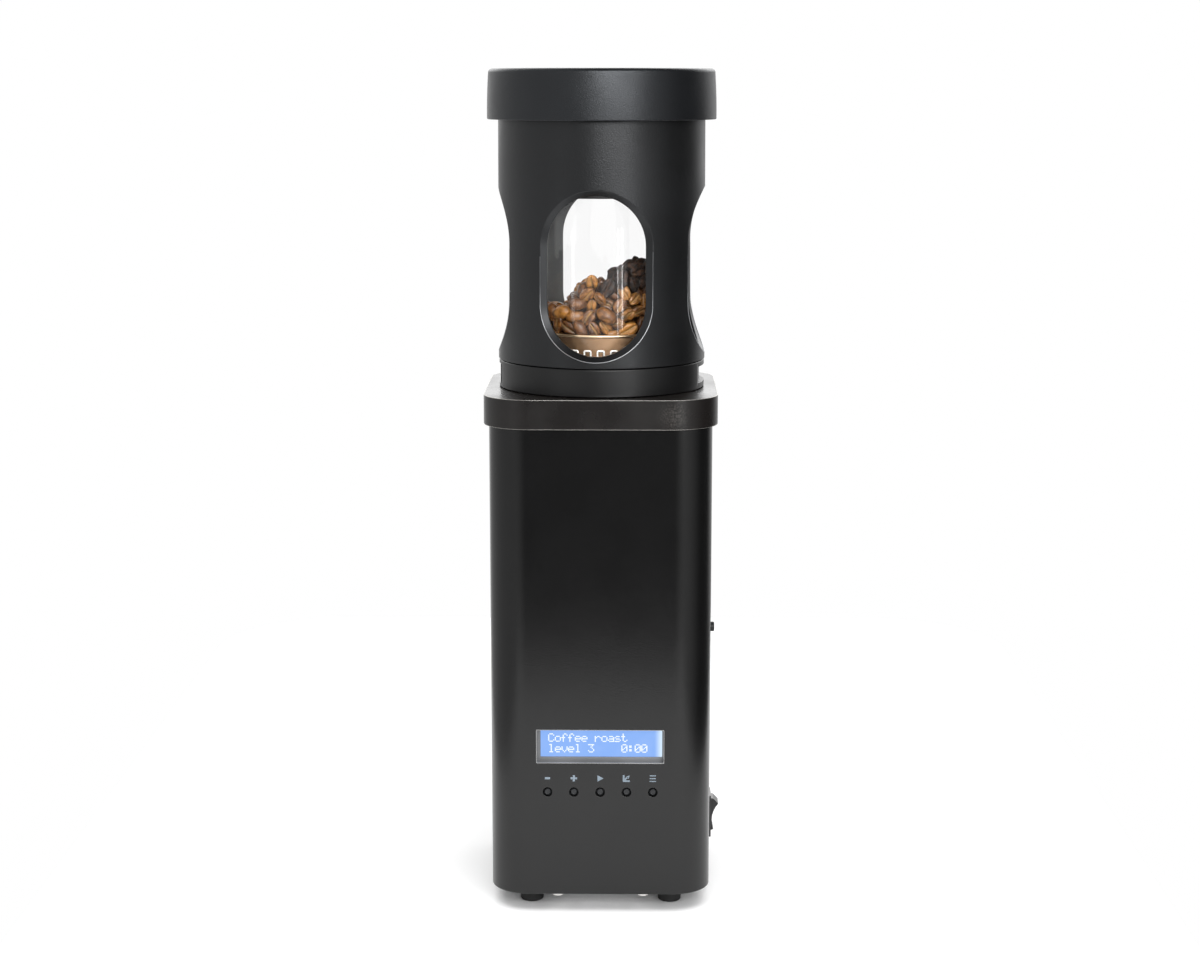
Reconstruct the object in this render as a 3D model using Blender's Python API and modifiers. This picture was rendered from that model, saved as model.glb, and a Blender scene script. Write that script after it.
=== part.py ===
"""Home coffee bean roaster: a hot air roaster with a glass chamber under a chaff sleeve.

Units are metres, +Z is up and the front, with the display, faces -Y. The origin is
on the surface the feet stand on, under the centre of the body.
"""
from math import asin, cos, hypot, pi, radians, sin, sqrt

import bmesh
import bpy
from mathutils import Matrix, Vector

# Gaps and rounding that all pieces share
FIT_GAP = 0.0003
ROUND_GAP = 0.0006
CUT_OVERRUN = 0.003
MERGE_DISTANCE = 0.00001
FUSE_DEPTH = 0.0004
SHARP_ANGLE = radians(35)
ROUND_STEPS = 36
BASKET_STEPS = 32
HIDDEN_STEPS = 24
MOTOR_STEPS = 16
SMALL_STEPS = 10
TINY_STEPS = 8

# Radii of the upper assembly, from the axis outwards
GLASS_BORE_RADIUS = 0.0370
GLASS_WALL = 0.0024
GLASS_TO_SLEEVE_GAP = 0.0112
SLEEVE_WALL = 0.0050
SLEEVE_DRAFT = 0.0005
COLLAR_SETBACK = 0.0003
BODY_LEDGE = 0.00334
CAP_OVERHANG = 0.00285
LID_OVERHANG = 0.0059
LID_DRAFT = 0.0009

GLASS_RADIUS = GLASS_BORE_RADIUS + GLASS_WALL
SLEEVE_BORE_RADIUS = GLASS_RADIUS + GLASS_TO_SLEEVE_GAP
SLEEVE_RADIUS = SLEEVE_BORE_RADIUS + SLEEVE_WALL
SLEEVE_TOP_RADIUS = SLEEVE_RADIUS - SLEEVE_DRAFT
COLLAR_RADIUS = SLEEVE_RADIUS - COLLAR_SETBACK
BODY_HALF = SLEEVE_RADIUS + BODY_LEDGE
CAP_HALF = BODY_HALF + CAP_OVERHANG
LID_RADIUS = SLEEVE_TOP_RADIUS + LID_OVERHANG

# Heights, from the table upwards
FOOT_HEIGHT = 0.0100
BODY_SIDE_HEIGHT = 0.2530
CAP_HEIGHT = 0.0156
COLLAR_HEIGHT = 0.01475
WINDOW_SILL = 0.00315
WINDOW_HEIGHT = 0.0887
SHELF_DROP = 0.0045
BOWL_HEIGHT = 0.0517
LID_SKIRT_OVERLAP = 0.0120
LID_HEIGHT = 0.0265

CAP_BOTTOM = FOOT_HEIGHT + BODY_SIDE_HEIGHT
CAP_TOP = CAP_BOTTOM + CAP_HEIGHT
COLLAR_BOTTOM = CAP_TOP + FIT_GAP
COLLAR_TOP = COLLAR_BOTTOM + COLLAR_HEIGHT
SLEEVE_BOTTOM = COLLAR_TOP + FIT_GAP
WINDOW_BOTTOM = SLEEVE_BOTTOM + WINDOW_SILL
WINDOW_TOP = WINDOW_BOTTOM + WINDOW_HEIGHT
SHELF_BOTTOM = WINDOW_TOP - SHELF_DROP
SLEEVE_TOP = SHELF_BOTTOM + BOWL_HEIGHT
LID_BOTTOM = SLEEVE_TOP - LID_SKIRT_OVERLAP
LID_TOP = LID_BOTTOM + LID_HEIGHT

# Housing and cap
BODY_CORNER_RADIUS = 0.0206
BODY_WALL = 0.0016
CAP_CORNER_RADIUS = 0.0255
CAP_PLATE = 0.0040
CAP_EDGE_RADIUS = 0.0012
CORNER_SEGMENTS = 6
EDGE_SEGMENTS = 2

BODY_INNER_HALF = BODY_HALF - BODY_WALL
BODY_INNER_CORNER = BODY_CORNER_RADIUS - BODY_WALL
CAP_UNDERSIDE = CAP_TOP - CAP_PLATE
BODY_TOP = CAP_UNDERSIDE - FIT_GAP
BODY_BOTTOM = FOOT_HEIGHT
FRONT_WALL_BACK = -BODY_INNER_HALF

# Base plate, feet and fasteners
BASE_THICKNESS = 0.0020
FOOT_PITCH = 0.0750
FOOT_RADIUS = 0.00685
FOOT_TIP_SHARE = 0.9
FOOT_ROUND = 0.0010
FOOT_STUD_RADIUS = 0.0020
FOOT_STUD_LENGTH = 0.0018
INTAKE_SLOT_COUNT = 7
INTAKE_SLOT_WIDTH = 0.0034
INTAKE_SLOT_PITCH = 0.0074
INTAKE_LENGTH = 0.0480
SCREW_HEAD_RADIUS = 0.0031
BASE_SCREW_HEAD_HEIGHT = 0.0032
BASE_SCREW_SHANK_RADIUS = 0.0015
BASE_SCREW_PITCH_X = 0.0460
BASE_SCREW_PITCH_Y = 0.1000
SIDE_SCREW_HEAD_RADIUS = 0.0026
SIDE_SCREW_HEAD_HEIGHT = 0.00175
SIDE_SCREW_SHANK_RADIUS = 0.0014
SIDE_SCREW_PITCH = 0.0660
SIDE_SCREW_Z = 0.1520

BASE_BOTTOM = BODY_BOTTOM + FIT_GAP
BASE_TOP = BASE_BOTTOM + BASE_THICKNESS
BASE_HALF = BODY_INNER_HALF - FIT_GAP

# Display, buttons and the boards behind them
DISPLAY_CENTRE_Z = 0.0923
BEZEL_RECESS = 0.0019
BEZEL_RIM = 0.0020
BEZEL_DEPTH = 0.0040
BEZEL_WINDOW_WIDTH = 0.0649
BEZEL_WINDOW_HEIGHT = 0.0165
BEZEL_SHOWN_X = 0.00165
BEZEL_SHOWN_Z = 0.0010
BEZEL_WINDOW_SHIFT_X = 0.0006
BEZEL_WINDOW_SHIFT_Z = 0.0015
BEZEL_FACE = 0.0008
PANEL_THICKNESS = 0.0025
CARRIER_RIM = 0.0030
CARRIER_DEPTH = 0.0060
BUTTON_COUNT = 5
BUTTON_PITCH = 0.01404
BUTTON_Z = 0.0672
BUTTON_HOLE_RADIUS = 0.0025
BUTTON_RADIUS = 0.0018
BUTTON_SUNK = 0.0004
BUTTON_TRAVEL = 0.0010
BUTTON_FLANGE = 0.0012
BUTTON_FLANGE_THICKNESS = 0.0010
BUTTON_STEM_SHARE = 0.7
CONTROL_BOARD_THICKNESS = 0.0016
SWITCH_BODY_SIDE = 0.0060
SWITCH_BODY_DEPTH = 0.0022

DISPLAY_WIDTH = BEZEL_WINDOW_WIDTH + 2 * BEZEL_SHOWN_X
DISPLAY_HEIGHT = BEZEL_WINDOW_HEIGHT + 2 * BEZEL_SHOWN_Z

# Rocker switch on the right side
SWITCH_Z = 0.0371
SWITCH_FLANGE_HEIGHT = 0.0238
SWITCH_FLANGE_WIDTH = 0.0160
SWITCH_FLANGE_THICKNESS = 0.0018
SWITCH_RIM = 0.0013
SWITCH_DEPTH = 0.0180
SWITCH_WELL_DEPTH = 0.0072
ROCKER_PIVOT_DEPTH = 0.0004
ROCKER_TILT = radians(10.3)
ROCKER_TIP_HEIGHT = 0.00545
ROCKER_TIP_REACH = 0.00757
ROCKER_DISH = 0.0021
ROCKER_SHOULDER_HEIGHT = 0.0020
ROCKER_KEEL = 0.0025
ROCKER_END_LEAN = 0.0005

# Mains inlet at the back
INLET_Z = 0.0370
INLET_WIDTH = 0.0272
INLET_HEIGHT = 0.0198
INLET_LIP = 0.0018
INLET_FLANGE_THICKNESS = 0.0020
INLET_DEPTH = 0.0210
INLET_WALL = 0.0016
INLET_FLOOR = 0.0030
INLET_KEY = 0.0045
PIN_WIDTH = 0.0020
PIN_HEIGHT = 0.0040
PIN_LENGTH = 0.0120
PIN_SPREAD = 0.0070
PIN_RISE = 0.0020

# Power board on the right wall
POWER_BOARD_THICKNESS = 0.0016
POWER_BOARD_HEIGHT = 0.0600
POWER_BOARD_DROP = 0.0080
POWER_BOARD_SIDE_MARGIN = 0.0060
POWER_STANDOFF = 0.0026
POWER_BOSS_RADIUS = 0.0030
POWER_PART_SEAT = 0.0180
HEAT_SINK_SIZE = (0.0090, 0.0220, 0.0250)
CAPACITOR_RADIUS = 0.0060
CAPACITOR_HEIGHT = 0.0090
TERMINAL_SIZE = (0.0080, 0.0100, 0.0200)
POWER_PART_SPACING = 0.0210

# Blower, from the base upwards
STAND_LEG_PITCH = 0.0660
STAND_LEG_RADIUS = 0.0040
STAND_PAD_HEIGHT = 0.0040
STAND_PAD_MARGIN = 0.0045
STAND_TO_CAP = 0.1560
STAND_PLATE = 0.0030
STAND_PLATE_MARGIN = 0.0050
EYE_INNER_RADIUS = 0.0225
EYE_OUTER_RADIUS = 0.0295
EYE_SLOT_COUNT = 3
EYE_SLOT_DEGREES = 90
EYE_SLOT_STEPS = 5
MOTOR_RADIUS = 0.0200
MOTOR_HEIGHT = 0.0480
MOTOR_BOSS_RADIUS = 0.0050
MOTOR_BOSS_HEIGHT = 0.0060
MOTOR_BAND_DEPTH = 0.0008
MOTOR_BORE_DEPTH = 0.0200
SHAFT_RADIUS = 0.0016
SHAFT_CLEARANCE = 0.0004
BLOWER_RADIUS = 0.0440
BLOWER_WALL = 0.0016
BLOWER_HEIGHT = 0.0320
BLOWER_CONE_HEIGHT = 0.0120
BLOWER_NECK_HEIGHT = 0.0100
WHEEL_RADIUS = 0.0360
WHEEL_CLEARANCE = 0.0025
WHEEL_HEIGHT = 0.0190
WHEEL_DISC = 0.0014
WHEEL_RING_WIDTH = 0.0100
WHEEL_HUB_RADIUS = 0.0055
WHEEL_HUB_HEIGHT = 0.0100
BLADE_COUNT = 12
BLADE_THICKNESS = 0.0011
BLADE_SWEEP = radians(34)
BLADE_STATIONS = 3

STAND_TOP = CAP_BOTTOM - STAND_TO_CAP

# Heater
HEATER_WALL = 0.0015
HEATER_RADIUS = 0.0345
CARD_THICKNESS = 0.0010
CARD_HEIGHT = 0.0850
CARD_END_HEIGHT = 0.0070
CARD_DROP = 0.0150
COIL_CORE_RADIUS = 0.0243
COIL_TURNS = 7
COIL_POINTS_PER_TURN = 8
WIRE_RADIUS = 0.0008
PROBE_RADIUS = 0.0015
PROBE_REACH = 0.0180
PROBE_DROP = 0.0080
PROBE_HEAD_RADIUS = 0.0040
PROBE_HEAD_LENGTH = 0.0060
CUTOUT_RADIUS = 0.0070
CUTOUT_DEPTH = 0.0060
CUTOUT_PLATE = 0.0010
CUTOUT_PLATE_MARGIN = 0.0030
CUTOUT_DROP = 0.0320

# Metal seat in the cap
SEAT_WALL = 0.0028
SEAT_LIP = 0.0020
SEAT_LIP_THICKNESS = 0.0015
SEAT_SKIRT_DEPTH = 0.0040
SEAT_FLANGE_WIDTH = 0.0040
SEAT_FLANGE_THICKNESS = 0.0020
BASKET_DROP = 0.0108

# Roast basket
BASKET_TO_GLASS_GAP = 0.0018
BASKET_WALL = 0.0009
BASKET_RISE = 0.01575
BASKET_FLOOR_LIP = 0.0050
BASKET_RIM_BEAD = 0.0009
BASKET_RIM_HEIGHT = 0.0016
BASKET_SHOULDER = 0.0012
BASKET_SHOULDER_HEIGHT = 0.0010
LOUVRE_COUNT = 32
LOUVRE_WIDTH = 0.0034
LOUVRE_HEIGHT = 0.0105
LOUVRE_BELOW_RIM = 0.0084
LOUVRE_CUT = 0.0008
PLATE_THICKNESS = 0.0010
PLATE_SLOT_COUNT = 10
PLATE_SLOT_WIDTH = 0.0016
PLATE_SLOT_INNER = 0.0120
PLATE_SLOT_MARGIN = 0.0050

# Collar ring and glass seals
GLASS_SEAT_DEPTH = 0.0100
GLASS_SEAL_THICKNESS = 0.0015
GROOVE_CLEARANCE = 0.0015
GROOVE_DEPTH = 0.0064
SPIGOT_WALL = 0.0032
SPIGOT_HEIGHT = 0.0022
NOTCH_DEPTH = 0.0029
NOTCH_HEIGHT = 0.0088
NOTCH_LIP = 0.0031
GRIP_DEPTH = 0.0026
GRIP_HEIGHT = 0.0112
GRIP_LIP = 0.0014
GRIP_RIB_COUNT = 5
GRIP_RIB_WIDTH = 0.0018
GRIP_RIB_PITCH = 0.0056
GRIP_RIB_SUNK = 0.0006

# Sleeve, its windows and the chimney ring
ASSEMBLY_TURN = radians(-2.6)
WINDOW_WIDTH = 0.0586
WINDOW_CHAMFER = 0.0028
WINDOW_POINTS_PER_ARC = 8
WINDOW_COUNT = 4
SLEEVE_LEDGE = 0.0014
SCREEN_LEDGE = 0.0010
SCREEN_DROP = 0.0073
CHIMNEY_FLOOR = 0.0022
CHIMNEY_POCKET_HEIGHT = 0.0062
CHIMNEY_WALL = 0.0022
CHIMNEY_HEIGHT = 0.0326
CHIMNEY_BORE_SETBACK = 0.0006
GLASS_TOP_SEAL = 0.0020

# Lid and screen
LID_WALL = 0.0030
LID_TOP_THICKNESS = 0.0035
LID_EDGE_ROUND = 0.0022
LID_FOOT_CHAMFER = 0.0006
LID_RIB_COUNT = 6
LID_RIB_WIDTH = 0.0030
LID_RIB_INSET = 0.0070
SCREEN_THICKNESS = 0.0012
SCREEN_RING_SHARES = (0.48, 0.88)
SCREEN_SLOTS_PER_RING = (6, 12)
SCREEN_SLOT_WIDTH = 0.0090
SCREEN_SLOT_LENGTH = 0.0140

# Bean heap
BEAN_LENGTH = 0.0108
BEAN_WIDTH = 0.0080
HEAP_HEIGHT = 0.0540
HEAP_SLOPE = 0.0230
HEAP_STEPS = 12
BEAN_COUNT = 12
BEAN_TURN_STEP = radians(137.5)

BLACK = (0.020, 0.020, 0.021)
WARM_BLACK = (0.024, 0.021, 0.020)
RUBBER_BLACK = (0.012, 0.012, 0.012)
BUTTON_GREY = (0.16, 0.18, 0.20)
STEEL = (0.60, 0.60, 0.61)
BRASS = (0.42, 0.27, 0.13)
GLASS = (0.85, 0.90, 0.92)
LCD_BLUE = (0.32, 0.52, 0.90)
BOARD_GREEN = (0.02, 0.16, 0.06)
CARD_TAN = (0.45, 0.38, 0.26)
COPPER = (0.50, 0.24, 0.12)
BEAN_BROWN = (0.14, 0.055, 0.020)
SEAL_RED = (0.30, 0.05, 0.03)


def clear_scene():
    """Remove every object so the script can run again."""
    for old in list(bpy.data.objects):
        bpy.data.objects.remove(old, do_unlink=True)


def new_collection(name):
    """Make a collection under the scene."""
    group = bpy.data.collections.new(name)
    bpy.context.scene.collection.children.link(group)
    return group


def new_material(name, colour, roughness, metallic):
    """Principled material with a plain colour."""
    material = bpy.data.materials.new(name)
    material.use_nodes = True
    shader = material.node_tree.nodes["Principled BSDF"]
    shader.inputs["Base Color"].default_value = (*colour, 1.0)
    shader.inputs["Roughness"].default_value = roughness
    shader.inputs["Metallic"].default_value = metallic
    return material


def new_frame(name, location, group):
    """Empty that carries the pieces of one body."""
    frame = bpy.data.objects.new(name, None)
    frame.location = location
    group.objects.link(frame)
    return frame


class Shop:
    """Collections and body frames that the pieces are added to."""

    def __init__(self):
        self.parts = new_collection("coffee_roaster")
        self.cutters = new_collection("cutters")
        self.base = new_frame("base_frame", (0, 0, 0), self.parts)
        self.fan = new_frame("fan_axis", (0, 0, STAND_TOP), self.parts)
        self.chamber = new_frame("chamber_frame", (0, 0, CAP_TOP), self.parts)
        self.collector = new_frame("collector_frame", (0, 0, COLLAR_TOP), self.parts)
        self.lid = new_frame("lid_frame", (0, 0, SLEEVE_TOP), self.parts)
        bpy.context.view_layer.update()

    def add(self, name, mesh, parent, look):
        """Add one named piece with its own material to a body frame."""
        piece = bpy.data.objects.new(name, mesh)
        self.parts.objects.link(piece)
        mesh.materials.append(new_material(name + "_finish", *look))
        mesh.shade_smooth()
        mesh.set_sharp_from_angle(angle=SHARP_ANGLE)
        piece.parent = parent
        piece.matrix_parent_inverse = parent.matrix_world.inverted()
        return piece

    def tool(self, name, mesh):
        """Add a shape that cuts or joins a piece and isn't a piece itself."""
        shape = bpy.data.objects.new(name, mesh)
        self.cutters.objects.link(shape)
        shape.hide_render = True
        shape.display_type = "WIRE"
        return shape


def boolean(piece, shape, operation):
    """Add one Boolean modifier to a piece."""
    step = piece.modifiers.new(shape.name, "BOOLEAN")
    step.operation = operation
    step.object = shape
    step.solver = "EXACT"


def cut(piece, shape):
    """Cut a shape out of a piece."""
    boolean(piece, shape, "DIFFERENCE")


def fuse(piece, shape):
    """Join a shape to a piece."""
    boolean(piece, shape, "UNION")


def mesh_from(name, bm):
    """Turn a bmesh into a mesh."""
    mesh = bpy.data.meshes.new(name)
    bm.to_mesh(mesh)
    bm.free()
    return mesh


def add_box(bm, low, high, turn=0.0):
    """Add a box between two corners, turned about the axis."""
    size = [high[i] - low[i] for i in range(3)]
    centre = [(high[i] + low[i]) / 2 for i in range(3)]
    place = Matrix.Rotation(turn, 4, "Z") @ Matrix.Translation(centre) @ Matrix.Diagonal((*size, 1))
    bmesh.ops.create_cube(bm, size=1, matrix=place)


def box(name, low, high):
    """Box between two corners."""
    bm = bmesh.new()
    add_box(bm, low, high)
    return mesh_from(name, bm)


def add_rod(bm, start, end, radius, steps=SMALL_STEPS, end_radius=None):
    """Add a cylinder or cone between two points."""
    start, end = Vector(start), Vector(end)
    run = end - start
    place = Matrix.Translation((start + end) / 2) @ run.to_track_quat("Z", "Y").to_matrix().to_4x4()
    bmesh.ops.create_cone(bm, cap_ends=True, segments=steps, radius1=radius,
                          radius2=radius if end_radius is None else end_radius,
                          depth=run.length, matrix=place)


def rod(name, start, end, radius, steps=SMALL_STEPS):
    """Cylinder between two points."""
    bm = bmesh.new()
    add_rod(bm, start, end, radius, steps)
    return mesh_from(name, bm)


def rounded_prism(name, half_x, half_y, low, high, corner, segments=CORNER_SEGMENTS, capped=True):
    """Upright prism with a rounded rectangle as its plan."""
    bm = bmesh.new()
    add_box(bm, (-half_x, -half_y, low), (half_x, half_y, high))
    upright = [e for e in bm.edges if abs(e.verts[0].co.z - e.verts[1].co.z) > (high - low) / 2]
    bmesh.ops.bevel(bm, geom=upright, offset=corner, segments=segments, affect="EDGES", profile=0.5)
    if not capped:
        caps = [f for f in bm.faces if abs(f.normal.z) > 0.5]
        bmesh.ops.delete(bm, geom=caps, context="FACES")
    return mesh_from(name, bm)


def profile_mesh(name, points, closed):
    """Line of (radius, height) points for a Screw modifier."""
    mesh = bpy.data.meshes.new(name)
    count = len(points)
    edges = [(i, (i + 1) % count) for i in range(count if closed else count - 1)]
    mesh.from_pydata([(r, 0, z) for r, z in points], edges, [])
    return mesh


def turn(piece, steps):
    """Spin a profile about the upright axis."""
    screw = piece.modifiers.new("turned", "SCREW")
    screw.steps = steps
    screw.render_steps = steps
    screw.use_merge_vertices = True
    screw.merge_threshold = MERGE_DISTANCE
    return piece


def turned_piece(shop, name, points, parent, look, steps=ROUND_STEPS, closed=True):
    """Piece with a turned profile."""
    return turn(shop.add(name, profile_mesh(name, points, closed), parent, look), steps)


def turned_tool(shop, name, points, steps=ROUND_STEPS, closed=True):
    """Cutter or joined shape with a turned profile."""
    return turn(shop.tool(name, profile_mesh(name, points, closed)), steps)


def ring_profile(inner, outer, low, high):
    """Plain ring section, down its outer side and up its bore."""
    return [(outer, high), (outer, low), (inner, low), (inner, high)]


def disc_profile(outer, low, high):
    """Plain disc section, from the axis over the top and down."""
    return [(0, high), (outer, high), (outer, low), (0, low)]


def add_sector(bm, inner, outer, low, high, start, sweep, steps):
    """Add a part of a ring by spinning a rectangle about the axis."""
    corners = [(outer, high), (outer, low), (inner, low), (inner, high)]
    spots = [bm.verts.new((r * cos(start), r * sin(start), z)) for r, z in corners]
    face = bm.faces.new(spots)
    bmesh.ops.spin(bm, geom=[face], cent=(0, 0, 0), axis=(0, 0, 1), angle=sweep, steps=steps)
    bmesh.ops.recalc_face_normals(bm, faces=bm.faces)


def extrude_side(name, outline, half_width):
    """Solid from an outline in the XZ plane, as wide as given along Y."""
    curve = bpy.data.curves.new(name + "_outline", "CURVE")
    curve.dimensions = "2D"
    curve.fill_mode = "BOTH"
    curve.extrude = half_width
    spline = curve.splines.new("POLY")
    spline.points.add(len(outline) - 1)
    for point, (x, z) in zip(spline.points, outline):
        point.co = (x, z, 0, 1)
    spline.use_cyclic_u = True
    guide = bpy.data.objects.new(name + "_guide", curve)
    bpy.context.scene.collection.objects.link(guide)
    graph = bpy.context.evaluated_depsgraph_get()
    mesh = bpy.data.meshes.new_from_object(guide.evaluated_get(graph))
    bpy.data.objects.remove(guide, do_unlink=True)
    bm = bmesh.new()
    bm.from_mesh(mesh)
    bmesh.ops.remove_doubles(bm, verts=bm.verts, dist=MERGE_DISTANCE)
    bmesh.ops.rotate(bm, verts=bm.verts, cent=(0, 0, 0), matrix=Matrix.Rotation(pi / 2, 3, "X"))
    bmesh.ops.recalc_face_normals(bm, faces=bm.faces)
    return mesh_from(name, bm)


def soften(piece, width, segments=EDGE_SEGMENTS, angle=radians(50)):
    """Round the sharp edges of a piece."""
    edge = piece.modifiers.new("soft_edges", "BEVEL")
    edge.width = width
    edge.segments = segments
    edge.limit_method = "ANGLE"
    edge.angle_limit = angle


def corner_places(pitch_x, pitch_y):
    """Four places on a rectangle, front left first."""
    return [(sx * pitch_x / 2, sy * pitch_y / 2) for sy in (-1, 1) for sx in (-1, 1)]


# Housing


def build_housing(shop):
    """Rounded square tube with its openings."""
    mesh = rounded_prism("housing_shell", BODY_HALF, BODY_HALF, BODY_BOTTOM, BODY_TOP,
                         BODY_CORNER_RADIUS, capped=False)
    shell = shop.add("housing_shell", mesh, shop.base, (BLACK, 0.4, 0.0))
    skin = shell.modifiers.new("wall", "SOLIDIFY")
    skin.thickness = BODY_WALL
    skin.offset = -1
    skin.use_even_offset = True
    cut(shell, shop.tool("display_opening", display_cutter()))
    cut(shell, shop.tool("button_holes", button_hole_cutter()))
    cut(shell, shop.tool("switch_opening", switch_cutter()))
    cut(shell, shop.tool("inlet_opening", inlet_cutter()))
    cut(shell, shop.tool("side_screw_holes", side_screw_cutter()))


def display_cutter():
    """Window through the front wall."""
    half = DISPLAY_WIDTH / 2
    low = (-half, -BODY_HALF - CUT_OVERRUN, DISPLAY_CENTRE_Z - DISPLAY_HEIGHT / 2)
    high = (half, FRONT_WALL_BACK + CUT_OVERRUN, DISPLAY_CENTRE_Z + DISPLAY_HEIGHT / 2)
    return box("display_opening", low, high)


def button_places():
    """Centres of the buttons along the front, left to right."""
    first = -BUTTON_PITCH * (BUTTON_COUNT - 1) / 2
    return [first + BUTTON_PITCH * i for i in range(BUTTON_COUNT)]


def button_hole_cutter():
    """Holes for the buttons through the front wall."""
    bm = bmesh.new()
    for x in button_places():
        add_rod(bm, (x, -BODY_HALF - CUT_OVERRUN, BUTTON_Z), (x, FRONT_WALL_BACK + CUT_OVERRUN, BUTTON_Z),
                BUTTON_HOLE_RADIUS)
    return mesh_from("button_holes", bm)


def switch_cutter():
    """Opening for the rocker switch through the right wall."""
    half_y, half_z = switch_body_halves()
    low = (BODY_INNER_HALF - CUT_OVERRUN, -half_y - FIT_GAP, SWITCH_Z - half_z - FIT_GAP)
    high = (BODY_HALF + CUT_OVERRUN, half_y + FIT_GAP, SWITCH_Z + half_z + FIT_GAP)
    return box("switch_opening", low, high)


def inlet_cutter():
    """Opening for the mains inlet through the rear wall."""
    half_x, half_z = INLET_WIDTH / 2 + FIT_GAP, INLET_HEIGHT / 2 + FIT_GAP
    low = (-half_x, BODY_INNER_HALF - CUT_OVERRUN, INLET_Z - half_z)
    high = (half_x, BODY_HALF + CUT_OVERRUN, INLET_Z + half_z)
    return box("inlet_opening", low, high)


def side_screw_places():
    """Places of the two side screws along the right wall."""
    return (-SIDE_SCREW_PITCH / 2, SIDE_SCREW_PITCH / 2)


def side_screw_cutter():
    """Holes for the side screws through the right wall."""
    bm = bmesh.new()
    inside, outside = BODY_INNER_HALF - CUT_OVERRUN, BODY_HALF + CUT_OVERRUN
    for y in side_screw_places():
        add_rod(bm, (inside, y, SIDE_SCREW_Z), (outside, y, SIDE_SCREW_Z), SIDE_SCREW_SHANK_RADIUS + FIT_GAP)
    return mesh_from("side_screw_holes", bm)


def build_cap(shop):
    """Overhanging cap: a top plate with a skirt round the body."""
    mesh = rounded_prism("top_cap", CAP_HALF, CAP_HALF, CAP_BOTTOM, CAP_TOP, CAP_CORNER_RADIUS)
    cap = shop.add("top_cap", mesh, shop.base, (WARM_BLACK, 0.35, 0.0))
    soften(cap, CAP_EDGE_RADIUS)
    inner = BODY_HALF + FIT_GAP
    hollow = rounded_prism("cap_hollow", inner, inner, CAP_BOTTOM - CUT_OVERRUN, CAP_UNDERSIDE,
                           BODY_CORNER_RADIUS + FIT_GAP)
    cut(cap, shop.tool("cap_hollow", hollow))
    bore = rod("cap_bore", (0, 0, CAP_UNDERSIDE - CUT_OVERRUN), (0, 0, CAP_TOP + CUT_OVERRUN),
               seat_outer_radius() + ROUND_GAP, HIDDEN_STEPS)
    cut(cap, shop.tool("cap_bore", bore))


def build_base(shop):
    """Floor of the housing with the air intake and its screw holes."""
    corner = BODY_INNER_CORNER - FIT_GAP
    mesh = rounded_prism("base_plate", BASE_HALF, BASE_HALF, BASE_BOTTOM, BASE_TOP, corner)
    plate = shop.add("base_plate", mesh, shop.base, (BLACK, 0.5, 0.0))
    bm = bmesh.new()
    low, high = BASE_BOTTOM - CUT_OVERRUN, BASE_TOP + CUT_OVERRUN
    first = -INTAKE_SLOT_PITCH * (INTAKE_SLOT_COUNT - 1) / 2
    for i in range(INTAKE_SLOT_COUNT):
        x = first + INTAKE_SLOT_PITCH * i
        reach = sqrt(max(INTAKE_LENGTH ** 2 / 4 - x * x, 0)) + INTAKE_SLOT_WIDTH
        add_box(bm, (x - INTAKE_SLOT_WIDTH / 2, -reach, low), (x + INTAKE_SLOT_WIDTH / 2, reach, high))
    for x, y in corner_places(BASE_SCREW_PITCH_X, BASE_SCREW_PITCH_Y):
        add_rod(bm, (x, y, low), (x, y, high), BASE_SCREW_SHANK_RADIUS + FIT_GAP, TINY_STEPS)
    for x, y in corner_places(FOOT_PITCH, FOOT_PITCH):
        add_rod(bm, (x, y, low), (x, y, high), FOOT_STUD_RADIUS + FIT_GAP, TINY_STEPS)
    cut(plate, shop.tool("base_openings", mesh_from("base_openings", bm)))


def build_feet(shop):
    """Four rubber feet with studs in the base plate."""
    names = ("foot_front_left", "foot_front_right", "foot_rear_left", "foot_rear_right")
    tip = FOOT_RADIUS * FOOT_TIP_SHARE
    stud_top = FOOT_HEIGHT + FOOT_STUD_LENGTH
    points = [(0, stud_top), (FOOT_STUD_RADIUS, stud_top), (FOOT_STUD_RADIUS, FOOT_HEIGHT),
              (FOOT_RADIUS, FOOT_HEIGHT), (FOOT_RADIUS, FOOT_ROUND), (tip, 0), (0, 0)]
    look = (RUBBER_BLACK, 0.8, 0.0)
    for name, (x, y) in zip(names, corner_places(FOOT_PITCH, FOOT_PITCH)):
        foot = turned_piece(shop, name, points, shop.base, look, SMALL_STEPS, closed=False)
        foot.location = (x, y, 0)


def pan_head_points(head_radius, head_height, shank_radius, shank_length):
    """Screw section from the shank's end, along +Z, down to the pan head."""
    edge = head_height / 3
    low = -FIT_GAP - head_height
    return [(0, shank_length), (shank_radius, shank_length), (shank_radius, -FIT_GAP),
            (head_radius, -FIT_GAP), (head_radius, low + edge), (head_radius - edge, low), (0, low)]


def build_base_screws(shop):
    """Four pan heads that hold the base plate to the blower stand."""
    length = BASE_THICKNESS + FIT_GAP + STAND_PAD_HEIGHT
    points = pan_head_points(SCREW_HEAD_RADIUS, BASE_SCREW_HEAD_HEIGHT, BASE_SCREW_SHANK_RADIUS, length)
    for i, (x, y) in enumerate(corner_places(BASE_SCREW_PITCH_X, BASE_SCREW_PITCH_Y)):
        screw = turned_piece(shop, "base_screw_%d" % (i + 1), points, shop.base, (STEEL, 0.3, 1.0),
                             TINY_STEPS, closed=False)
        screw.location = (x, y, BASE_BOTTOM)


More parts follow.
